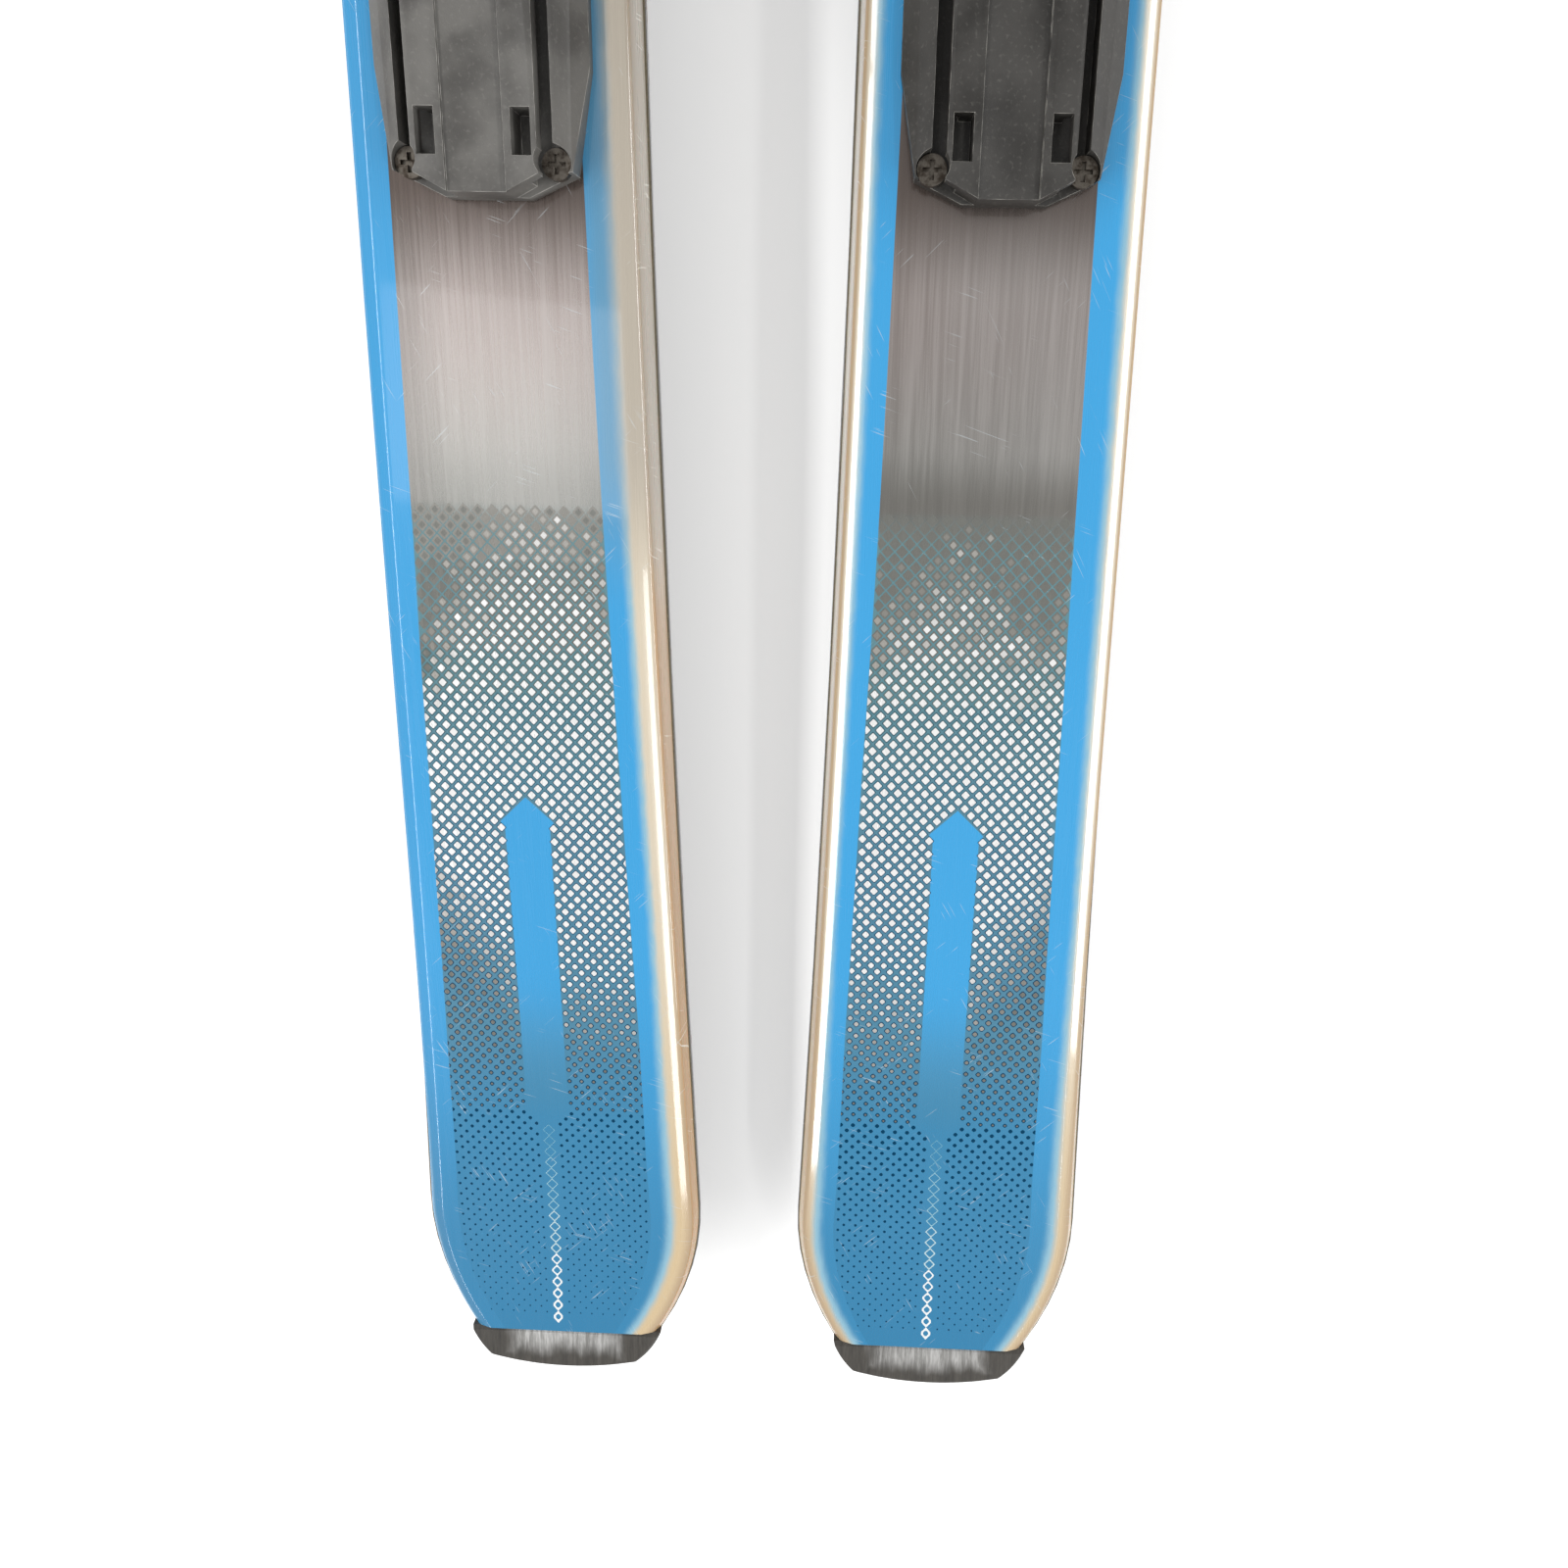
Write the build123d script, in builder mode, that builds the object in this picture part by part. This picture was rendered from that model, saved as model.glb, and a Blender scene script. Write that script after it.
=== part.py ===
"""A pair of alpine skis with heel and toe bindings, lying side by side.

The frame: +X to the right, +Y towards the tips, +Z up, in millimetres.
The origin is below the middle of the pair, at the level of the brakes' feet.
Both skis are alike, so each piece is built once on its ski's centre-line and
written for the left and for the right ski.
"""

from build123d import *
from math import cos, pi, radians, sin
import os

os.makedirs("parts", exist_ok=True)

# The pair
ski_length = 1590.0
shovel_gap = 18.0

# Plan of a ski
waist_width = 79.0
waist_from_tail = 665.5
sidecut_radius = 14500.0
tail_cut_width = 74.0
tail_rounding = 55.0
tip_rounding = 130.0

# Side view of a ski
brake_reach = 36.0
camber = 4.0
tail_kick = 6.0
tail_contact_from_end = 60.0
tip_rise = 55.0
tip_contact_from_end = 200.0
deck_thickness = 16.0
tail_thickness = 7.0
tip_thickness = 6.5
deck_behind_waist = 272.0
deck_ahead_of_waist = 295.0
station_spacing = 50.0

# Layers of a ski
edge_width = 2.2
base_thickness = 1.8
laminate_thickness = 0.8
sheet_thickness = 1.0
sidewall_width = 5.0
laminate_inset = 0.3
sidewall_inset = 1.0
sheet_inset = 2.6
edge_end_from_tip = 110.0
base_panel_length = 320.0
underfoot_length = 560.0
seam_width = 0.2
spacer_length = 150.0
protector_length = 15.5
protector_end_width = 54.0
protector_bulge = 2.8
protector_rounding = 1.2

# Boot sole and its place on the ski
sole_length = 305.0
sole_ahead_of_waist = 52.5
sole_height = 28.0
toe_lug = 19.0
heel_lug = 30.0
sole_end_radius = 35.0
lug_play = 0.8

# Heel track: a rail between two skirts
track_behind_boot = 150.0
track_width = 58.0
track_rear_width = 49.0
track_rear_flat = 23.0
track_corner = 6.0
track_flare = 32.0
track_floor = 5.0
track_rim = 4.0
skirt_height = 13.0
rail_width = 33.5
rail_neck = 27.5
rail_height = 15.0
rail_lip = 5.0
rail_groove = 3.75
rail_bevel = 4.5
rail_rear_flat = 16.0
channel_width = 16.0
channel_depth = 1.0
window_width = 5.2
window_length = 11.4
window_from_end = 8.8
window_across = 25.4

# Screws that hold the binding to the ski
screw_across = 40.0
screw_from_end = 8.0
screw_head_diameter = 8.0
screw_head_height = 2.6
screw_shank_diameter = 5.0
screw_depth = 8.0
screw_drive_width = 1.2
screw_drive_length = 5.0
screw_drive_depth = 1.2

# Clearances
slide_clearance = 0.15
foot_clearance = 0.3
pin_clearance = 0.05
side_clearance = 0.3
screw_clearance = 0.3

# Heel piece
carriage_travel = 12.0
carriage_length = 134.0
carriage_behind_boot = 72.0
carriage_plate = 3.0
carriage_width = 68.0
cheek_thickness = 3.8
cheek_radius = 11.0
pivot_behind_boot = 45.0
pivot_height = 30.0
pivot_pin_diameter = 6.0
housing_heel_radius = 11.4
housing_length = 38.0
housing_floor = 9.0
housing_front_top = 30.0
housing_crown = 36.0
housing_crown_drop = 1.0
housing_crown_radius = 8.0
cup_depth = 23.0
cup_width = 62.0
cup_roof = 4.0
cup_lip = 8.0
cup_tongue_reach = 10.0
heel_spring_radius = 7.5
heel_spring_core = 4.5
heel_spring_length = 29.0
heel_spring_rise = 13.0
release_screw_length = 10.0
release_screw_radius = 7.9
release_screw_clearance = 0.1
release_screw_recess = 1.0
lever_pin_diameter = 4.0
lever_pin_back = 2.0
lever_pin_rise = 29.0
lever_hub_radius = 5.5
lever_length = 50.0
lever_angle = 140.0
lever_thickness = 7.0
lever_neck_width = 27.0
lever_neck_length = 16.0
lever_paddle_width = 42.0

# Brake
brake_shaft_diameter = 6.0
brake_shaft_height = 22.5
brake_shaft_ahead = 25.0
brake_arm_clearance = 4.0
brake_bend_radius = 5.0
brake_arm_angle = 61.0
brake_pedal_angle = 63.0
brake_pedal_length = 36.0
brake_pedal_gap = 1.0
brake_pedal_thickness = 4.0
brake_pedal_lift = 1.0
brake_hub_radius = 4.0
brake_pad_width = 10.0
brake_pad_gap = 2.0
brake_bridge_length = 12.0
brake_bridge_height = 3.5
brake_foot_radius = 6.5
brake_foot_length = 26.0
brake_foot_thickness = 9.0

# Toe piece
toe_base_length = 132.0
toe_base_behind_boot = 55.0
toe_base_width = 60.0
toe_base_front_width = 52.0
toe_base_height = 14.0
toe_base_taper = 40.0
slider_bridge_length = 42.0
slider_thickness = 4.0
slider_width = 48.0
slider_length = 32.0
slider_neck_width = 8.0
slider_neck_height = 3.0
slider_foot_width = 14.0
slider_foot_height = 2.0
slider_clearance = 0.2
toe_housing_width = 52.0
toe_housing_gap = 7.0
toe_housing_height = 58.0
toe_housing_crown = 43.0
toe_nose_height = 40.0
toe_nose_bulge = 4.0
toe_crown_radius = 9.0
wing_height = 20.0
wing_above_sole = 4.0
wing_pivot_across = 36.0
wing_pivot_ahead = 18.0
wing_pin_diameter = 5.0
wing_pin_length = 28.0
wing_hub_radius = 7.5
wing_reach = 17.0
wing_spread = 40.0
wing_inner = 10.6
wing_lip = 7.0
wing_slot_length = 22.0
toe_spring_rise = 34.0
toe_spring_gap = 0.3
spring_wall = 5.0
toe_screw_length = 12.0
toe_screw_recess = 4.4

# Levels and stations worked out from the sizes above
tail_end = -ski_length / 2
tip_end = ski_length / 2
sheet_end = tail_end + protector_length
waist = tail_end + waist_from_tail
tail_contact = tail_end + tail_contact_from_end
tip_contact = tip_end - tip_contact_from_end
deck_rear = waist - deck_behind_waist
deck_front = waist + deck_ahead_of_waist
edge_front = tip_end - edge_end_from_tip
spacer_rear = tip_end - spacer_length
deck = brake_reach + camber + deck_thickness

boot_heel = waist + sole_ahead_of_waist - sole_length / 2
boot_toe = waist + sole_ahead_of_waist + sole_length / 2
sole = deck + sole_height

track_rear = boot_heel - track_behind_boot
plate_bottom = deck + rail_height + slide_clearance
plate_top = plate_bottom + carriage_plate
carriage_rear = boot_heel - carriage_behind_boot
carriage_front = carriage_rear + carriage_length
track_front = carriage_front + carriage_travel + screw_from_end + screw_head_diameter
track_length = track_front - track_rear
pivot_y = boot_heel - pivot_behind_boot
pivot_z = deck + pivot_height
housing_width = carriage_width - 2 * (cheek_thickness + side_clearance)
cup_rear = pivot_y + housing_length
cup_front = cup_rear + cup_depth
heel_spring_z = pivot_z + heel_spring_rise
heel_screw_rear = pivot_y - housing_heel_radius + release_screw_recess
heel_screw_front = heel_screw_rear + release_screw_length
lever_pin_y = pivot_y - lever_pin_back
lever_pin_z = pivot_z + lever_pin_rise

brake_y = boot_heel + brake_shaft_ahead
brake_z = deck + brake_shaft_height
brake_pedal_width = carriage_width - 2 * (brake_pad_width + brake_pedal_gap)
arm_x = waist_width / 2 + brake_arm_clearance + brake_shaft_diameter / 2
arm_length = (brake_z - brake_foot_radius) / sin(radians(brake_arm_angle))

toe_base_rear = boot_toe - toe_base_behind_boot
toe_base_front = toe_base_rear + toe_base_length
slider_y = toe_base_rear + slider_bridge_length / 2
slider_bottom = sole - slider_thickness
toe_housing_rear = boot_toe + toe_housing_gap
toe_housing_bottom = deck + toe_base_height
wing_x = wing_pivot_across / 2
wing_y = boot_toe + wing_pivot_ahead
wing_bottom = sole + wing_above_sole
toe_spring_z = deck + toe_spring_rise
toe_spring_rear = wing_y + wing_slot_length / 2 + spring_wall
toe_screw_rear = toe_base_front - toe_screw_recess - toe_screw_length
toe_spring_length = toe_screw_rear - toe_spring_rear - 2 * toe_spring_gap


# Curves that the layers of a ski share
def half_width(y):
    """Half the ski's width on its sidecut, an arc about the waist."""
    return waist_width / 2 + (y - waist) ** 2 / (2 * sidecut_radius)


# The skis lie side by side, a hand's gap between their shovels
ski_spacing = 2 * half_width(tip_end - tip_rounding) + shovel_gap


def base_height(y):
    """Height of the running surface: tail kick, camber, then the rising tip."""
    if y < tail_contact:
        return brake_reach + tail_kick * ((tail_contact - y) / tail_contact_from_end) ** 2
    if y > tip_contact:
        return brake_reach + tip_rise * ((y - tip_contact) / tip_contact_from_end) ** 2
    middle = (tail_contact + tip_contact) / 2
    return brake_reach + camber * (1 - (2 * (y - middle) / (tip_contact - tail_contact)) ** 2)


def top_height(y):
    """Height of the top face: level at the binding, thinning to both ends."""
    if deck_rear <= y <= deck_front:
        return deck
    if y < deck_rear:
        run = (deck_rear - y) / (deck_rear - tail_end)
        end_thickness = tail_thickness
        deck_end = deck_rear
    else:
        run = min((y - deck_front) / (tip_contact - deck_front), 1.0)
        end_thickness = tip_thickness
        deck_end = deck_front
    share = (1 + cos(pi * run)) / 2
    thinning = deck - base_height(deck_end) - end_thickness
    return base_height(y) + end_thickness + thinning * share


def stations(first, last, spacing=station_spacing):
    """Places along the ski, evenly spaced about this far apart, both ends included."""
    steps = round((last - first) / spacing)
    return [first + (last - first) * step / steps for step in range(steps + 1)]


def side_profile(bottom_lift, top_drop=None, top_lift=0.0, rear=None, front=None):
    """Side view of one layer, between lines parallel to the ski's two faces.

    The bottom follows the running surface. The top does too, unless top_drop is given:
    then it lies that far below the ski's top face.
    """
    below = tail_end - protector_length
    beyond = tip_end + protector_length
    lower = [(y, base_height(y) + bottom_lift) for y in stations(below, beyond)]
    with BuildSketch(Plane.YZ) as side:
        with BuildLine():
            Spline(lower)
            if top_drop is None:
                upper = [(y, z + top_lift - bottom_lift) for y, z in lower]
                Spline(upper)
            else:
                behind = [(y, top_height(y) - top_drop) for y in stations(below, deck_rear)]
                ahead = [(y, top_height(y) - top_drop) for y in stations(deck_front, beyond)]
                Spline(behind)
                Line(behind[-1], ahead[0])
                Spline(ahead)
                upper = behind + ahead
            Line(lower[0], upper[0])
            Line(lower[-1], upper[-1])
        make_face()
        if rear is not None or front is not None:
            start = below if rear is None else rear
            stop = beyond if front is None else front
            with Locations(((start + stop) / 2, deck)):
                Rectangle(stop - start, 4 * deck, mode=Mode.INTERSECT)
    return side.sketch


def ski_plan(inset=0.0):
    """Plan of the ski ahead of its tail cut, drawn in from the edge by inset."""
    rounding_start = sheet_end + tail_rounding
    tip_start = tip_end - tip_rounding
    cut = (tail_cut_width / 2 - inset, sheet_end)
    tail_side = (half_width(rounding_start) - inset, rounding_start)
    waist_side = (waist_width / 2 - inset, waist)
    tip_side = (half_width(tip_start) - inset, tip_start)
    tail_slope = (waist - rounding_start) / sidecut_radius
    tip_slope = (tip_start - waist) / sidecut_radius
    shoulder_x = half_width(tip_start) * cos(pi / 4) - inset * cos(pi / 4)
    shoulder_y = tip_start + tip_rounding * sin(pi / 4) - inset * sin(pi / 4)
    with BuildSketch(Plane.XY) as plan:
        with BuildLine() as edge:
            ThreePointArc(tail_side, waist_side, tip_side)
            TangentArc(tail_side, cut, tangent=(tail_slope, -1))
            Spline(
                tip_side, (shoulder_x, shoulder_y), (0, tip_end - inset),
                tangents=((tip_slope, 1), (-1, 0)),
            )
            Line(cut, (0, sheet_end))
            mirror(edge.line, about=Plane.YZ)
        make_face()
    return plan.sketch


def write_pair(piece, name):
    """Write a piece for the left and for the right ski."""
    for side, x in (("left", -ski_spacing / 2), ("right", ski_spacing / 2)):
        with BuildPart() as placed:
            with Locations((x, 0, 0)):
                add(piece)
        placed.part.label = f"{side}_{name}"
        export_step(placed.part, f"parts/{side}_{name}.step")


def across(y):
    """Plane across the ski at station y: its x is the ski's +X and its y is up."""
    return Plane.XZ.offset(-y)


# Ski: the layers from the snow upwards
core_bottom = base_thickness + laminate_thickness

# Two steel edges with the running base between them
with BuildPart() as steel_edges:
    extrude(side_profile(0, top_lift=base_thickness, front=edge_front), ski_spacing, both=True)
    extrude(ski_plan(), 4 * deck, mode=Mode.INTERSECT)
    extrude(ski_plan(edge_width), 4 * deck, mode=Mode.SUBTRACT)
write_pair(steel_edges.part, "steel_edges")



def cut_across(layer, places):
    """The layer in panels end to end, with a fine seam across the ski at each place."""
    with BuildPart() as panels:
        add(layer)
        with BuildSketch(Plane.YZ.offset(-ski_spacing)) as seams:
            with Locations([(y, deck) for y in places]):
                Rectangle(seam_width, 4 * deck)
        extrude(amount=2 * ski_spacing, mode=Mode.SUBTRACT)
    return panels.part


# The running base is die-cut in panels, laid end to end between the edges
with BuildPart() as running_base:
    extrude(side_profile(0, top_lift=base_thickness), ski_spacing, both=True)
    extrude(ski_plan(), 4 * deck, mode=Mode.INTERSECT)
    add(steel_edges.part, mode=Mode.SUBTRACT)
base_seams = stations(sheet_end, spacer_rear, base_panel_length)[1:]
write_pair(cut_across(running_base.part, base_seams), "running_base")

with BuildPart() as lower_laminate:
    extrude(side_profile(base_thickness, top_lift=core_bottom), ski_spacing, both=True)
    extrude(ski_plan(laminate_inset), 4 * deck, mode=Mode.INTERSECT)
write_pair(lower_laminate.part, "lower_laminate")


# Binding screws: four in the heel track and four in the toe base
def screw_places(rear, front):
    """Places of four screws near the ends of a base plate."""
    places = []
    for x in (-screw_across / 2, screw_across / 2):
        places.append((x, rear + screw_from_end))
        places.append((x, front - screw_from_end))
    return places


track_screws = screw_places(track_rear, track_front)
toe_screws = screw_places(toe_base_rear, toe_base_front)
binding_places = track_screws + toe_screws

# The core is three blocks end to end, the middle one of denser wood to hold the screws
with BuildPart() as wood_core:
    extrude(side_profile(core_bottom, sheet_thickness, front=spacer_rear), ski_spacing, both=True)
    extrude(ski_plan(sidewall_inset + sidewall_width), 4 * deck, mode=Mode.INTERSECT)
    with BuildSketch(Plane.XY.offset(deck)) as holes:
        with Locations(binding_places):
            Circle(screw_shank_diameter / 2)
    extrude(amount=-screw_depth, mode=Mode.SUBTRACT)
core_seams = (waist - underfoot_length / 2, waist + underfoot_length / 2)
write_pair(cut_across(wood_core.part, core_seams), "wood_core")

with BuildPart() as sidewalls:
    extrude(side_profile(core_bottom, sheet_thickness, front=spacer_rear), ski_spacing, both=True)
    extrude(ski_plan(sidewall_inset), 4 * deck, mode=Mode.INTERSECT)
    extrude(ski_plan(sidewall_inset + sidewall_width), 4 * deck, mode=Mode.SUBTRACT)
write_pair(sidewalls.part, "sidewalls")

with BuildPart() as tip_spacer:
    extrude(side_profile(core_bottom, sheet_thickness, rear=spacer_rear), ski_spacing, both=True)
    extrude(ski_plan(sidewall_inset), 4 * deck, mode=Mode.INTERSECT)
write_pair(tip_spacer.part, "tip_spacer")

with BuildPart() as top_sheet:
    extrude(side_profile(core_bottom, top_drop=0), ski_spacing, both=True)
    extrude(side_profile(core_bottom, sheet_thickness), ski_spacing, both=True, mode=Mode.SUBTRACT)
    extrude(ski_plan(sheet_inset), 4 * deck, mode=Mode.INTERSECT)
    with BuildSketch(Plane.XY.offset(deck)) as holes:
        with Locations(binding_places):
            Circle(screw_shank_diameter / 2)
    extrude(amount=-sheet_thickness, mode=Mode.SUBTRACT)
write_pair(top_sheet.part, "top_sheet")

# The tail protector closes the ski's end, its corners swept in and its end bowed
with BuildPart() as tail_protector:
    extrude(side_profile(0, top_drop=0, front=sheet_end), ski_spacing, both=True)
    with BuildSketch(Plane.XY) as plan:
        with BuildLine():
            root = tail_cut_width / 2 - laminate_inset
            end = protector_end_width / 2
            shoulder = tail_end + protector_bulge
            side = (root + end) / 2 + protector_bulge / 2
            ThreePointArc((root, sheet_end), (side, (sheet_end + shoulder) / 2), (end, shoulder))
            ThreePointArc((end, shoulder), (0, tail_end), (-end, shoulder))
            ThreePointArc((-end, shoulder), (-side, (sheet_end + shoulder) / 2), (-root, sheet_end))
            Line((-root, sheet_end), (root, sheet_end))
        make_face()
    extrude(amount=4 * deck, mode=Mode.INTERSECT)
    chamfer(tail_protector.faces().sort_by(Axis.Z)[-1].edges(), protector_rounding)
write_pair(tail_protector.part, "tail_protector")


# Heel track: skirts, a floor and an undercut rail, tapered in plan at its rear
with BuildPart() as heel_track:
    with BuildSketch(across(track_front)) as section:
        half = track_width / 2
        inner = rail_width / 2 + rail_groove
        lip = rail_height - rail_lip
        with BuildLine():
            Polyline(
                (-half, deck), (half, deck), (half, deck + track_rim), (inner, deck + skirt_height),
                (inner, deck + track_floor), (rail_neck / 2, deck + track_floor),
                (rail_neck / 2, deck + lip), (rail_width / 2, deck + lip),
                (rail_width / 2, deck + rail_height), (-rail_width / 2, deck + rail_height),
                (-rail_width / 2, deck + lip), (-rail_neck / 2, deck + lip),
                (-rail_neck / 2, deck + track_floor), (-inner, deck + track_floor),
                (-inner, deck + skirt_height), (-half, deck + track_rim), close=True,
            )
        make_face()
        with Locations((0, deck + rail_height)):
            Rectangle(channel_width, 2 * channel_depth, mode=Mode.SUBTRACT)
    extrude(amount=track_length)
    with BuildSketch(Plane.XY.offset(deck)) as plan:
        with BuildLine():
            Polyline(
                (-track_rear_flat / 2, track_rear), (track_rear_flat / 2, track_rear),
                (track_rear_width / 2, track_rear + track_corner),
                (track_width / 2, track_rear + track_flare), (track_width / 2, track_front),
                (-track_width / 2, track_front), (-track_width / 2, track_rear + track_flare),
                (-track_rear_width / 2, track_rear + track_corner), close=True,
            )
        make_face()
    extrude(amount=rail_height, mode=Mode.INTERSECT)
    with BuildSketch(Plane.XY.offset(deck + track_floor)) as bevels:
        for hand in (-1, 1):
            with BuildLine():
                Polyline(
                    (hand * rail_rear_flat / 2, track_rear),
                    (hand * rail_width / 2, track_rear + rail_bevel),
                    (hand * track_width / 2, track_rear + rail_bevel),
                    (hand * track_width / 2, track_rear), close=True,
                )
            make_face()
    extrude(amount=rail_height, mode=Mode.SUBTRACT)
    with BuildSketch(Plane.XY.offset(deck + track_floor)) as windows:
        window_y = track_rear + window_from_end + window_length / 2
        with Locations((-window_across / 2, window_y), (window_across / 2, window_y)):
            Rectangle(window_width, window_length)
    extrude(amount=rail_height, mode=Mode.SUBTRACT)
    with BuildSketch(Plane.XY.offset(deck + track_floor)) as wells:
        with Locations(track_screws):
            Circle(screw_head_diameter / 2 + screw_clearance)
    extrude(amount=rail_height, mode=Mode.SUBTRACT)
    with BuildSketch(Plane.XY.offset(deck)) as holes:
        with Locations(track_screws):
            Circle(screw_shank_diameter / 2)
    extrude(amount=track_floor, mode=Mode.SUBTRACT)
write_pair(heel_track.part, "heel_track")

with BuildPart() as binding_screws:
    for places in (track_screws, toe_screws):
        with BuildSketch(Plane.XY.offset(deck - screw_depth)) as shanks:
            with Locations(places):
                Circle(screw_shank_diameter / 2)
        extrude(amount=screw_depth + track_floor)
        with BuildSketch(Plane.XY.offset(deck + track_floor)) as heads:
            with Locations(places):
                Circle(screw_head_diameter / 2)
        extrude(amount=screw_head_height)
    with BuildSketch(Plane.XY.offset(deck + track_floor + screw_head_height)) as drives:
        with Locations(binding_places):
            Rectangle(screw_drive_width, screw_drive_length)
            Rectangle(screw_drive_length, screw_drive_width)
    extrude(amount=-screw_drive_depth, mode=Mode.SUBTRACT)
write_pair(binding_screws.part, "binding_screws")

# Heel carriage: a plate on the rail, feet hooked under the rail's lips, two cheeks
with BuildPart() as heel_carriage:
    with BuildSketch(across(carriage_front)) as section:
        with Locations((0, (plate_bottom + plate_top) / 2)):
            Rectangle(carriage_width, carriage_plate)
        key_bottom = deck + rail_height - channel_depth + slide_clearance
        with Locations((0, (key_bottom + plate_bottom) / 2)):
            Rectangle(channel_width - 2 * foot_clearance, plate_bottom - key_bottom)
        leg_inner = rail_width / 2 + foot_clearance
        leg_outer = rail_width / 2 + rail_groove - foot_clearance
        foot_inner = rail_neck / 2 + foot_clearance
        foot_top = deck + rail_height - rail_lip - foot_clearance
        foot_bottom = deck + track_floor + foot_clearance
        for hand in (-1, 1):
            with Locations((hand * (leg_inner + leg_outer) / 2, (foot_bottom + plate_bottom) / 2)):
                Rectangle(leg_outer - leg_inner, plate_bottom - foot_bottom)
            with Locations((hand * (foot_inner + leg_outer) / 2, (foot_bottom + foot_top) / 2)):
                Rectangle(leg_outer - foot_inner, foot_top - foot_bottom)
    extrude(amount=carriage_length)
    cheek_x = carriage_width / 2 - cheek_thickness
    with BuildSketch(Plane.YZ.offset(-carriage_width / 2)) as cheeks:
        with Locations((pivot_y, pivot_z)):
            Circle(cheek_radius)
        with Locations((pivot_y, (plate_top + pivot_z) / 2)):
            Rectangle(2 * cheek_radius, pivot_z - plate_top)
    extrude(amount=carriage_width)
    with BuildSketch(across(pivot_y + 2 * cheek_radius)) as gap:
        with Locations((0, plate_top + 2 * cheek_radius)):
            Rectangle(2 * cheek_x, 4 * cheek_radius)
    extrude(amount=4 * cheek_radius, mode=Mode.SUBTRACT)
    with BuildSketch(Plane.YZ.offset(-carriage_width / 2)) as bore:
        with Locations((pivot_y, pivot_z)):
            Circle(pivot_pin_diameter / 2)
    extrude(amount=carriage_width, mode=Mode.SUBTRACT)
write_pair(heel_carriage.part, "heel_carriage")


def cross_pin(y, z, diameter, length):
    """A plain pin across the ski at this station and height."""
    with BuildPart() as pin:
        with BuildSketch(Plane.YZ.offset(-length / 2)) as end:
            with Locations((y, z)):
                Circle(diameter / 2)
        extrude(amount=length)
    return pin.part


write_pair(cross_pin(pivot_y, pivot_z, pivot_pin_diameter, carriage_width), "heel_pivot_pin")
write_pair(cross_pin(lever_pin_y, lever_pin_z, lever_pin_diameter, housing_width), "lever_pin")

# Heel housing: turns on the pivot pin, round behind it, with the spring bore inside
with BuildPart() as heel_housing:
    rear_face = pivot_y - housing_heel_radius
    front_face = pivot_y + housing_length
    with BuildSketch(Plane.YZ.offset(-housing_width / 2)) as profile:
        with BuildLine():
            ThreePointArc(
                (rear_face, pivot_z),
                (pivot_y - housing_heel_radius * cos(pi / 4), pivot_z - housing_heel_radius * sin(pi / 4)),
                (pivot_y, pivot_z - housing_heel_radius),
            )
            Polyline(
                (pivot_y, pivot_z - housing_heel_radius), (front_face, pivot_z - housing_floor),
                (front_face, pivot_z + housing_front_top),
            )
            ThreePointArc(
                (front_face, pivot_z + housing_front_top),
                ((rear_face + front_face) / 2 + lever_hub_radius, pivot_z + housing_crown),
                (lever_pin_y - lever_hub_radius, pivot_z + housing_crown - housing_crown_drop),
            )
            Polyline(
                (lever_pin_y - lever_hub_radius, pivot_z + housing_crown - housing_crown_drop),
                (rear_face, pivot_z + heel_spring_rise + heel_spring_radius),
                (rear_face, pivot_z),
            )
        make_face()
    extrude(amount=housing_width)
    with BuildSketch(across(front_face)) as crown:
        with Locations((0, pivot_z)):
            Rectangle(housing_width, 2 * housing_crown)
        fillet(crown.vertices().group_by(Axis.Y)[-1], housing_crown_radius)
    extrude(amount=housing_length + housing_heel_radius, mode=Mode.INTERSECT)
    with BuildSketch(Plane.YZ.offset(-housing_width / 2)) as bores:
        with Locations((pivot_y, pivot_z)):
            Circle(pivot_pin_diameter / 2 + pin_clearance)
        with Locations((lever_pin_y, lever_pin_z)):
            Circle(lever_pin_diameter / 2)
    extrude(amount=housing_width, mode=Mode.SUBTRACT)
    with BuildSketch(across(heel_screw_front + heel_spring_length)) as spring_bore:
        with Locations((0, heel_spring_z)):
            Circle(release_screw_radius + release_screw_clearance)
    extrude(amount=2 * heel_spring_length, mode=Mode.SUBTRACT)
    slot_floor = lever_pin_z - lever_hub_radius - side_clearance
    slot_front = lever_pin_y + lever_hub_radius + side_clearance
    with BuildSketch(Plane.XY.offset(slot_floor)) as slot:
        with Locations((0, slot_front - lever_length / 2)):
            Rectangle(lever_neck_width + 2 * side_clearance, lever_length)
    extrude(amount=housing_crown, mode=Mode.SUBTRACT)
write_pair(heel_housing.part, "heel_housing")

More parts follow.
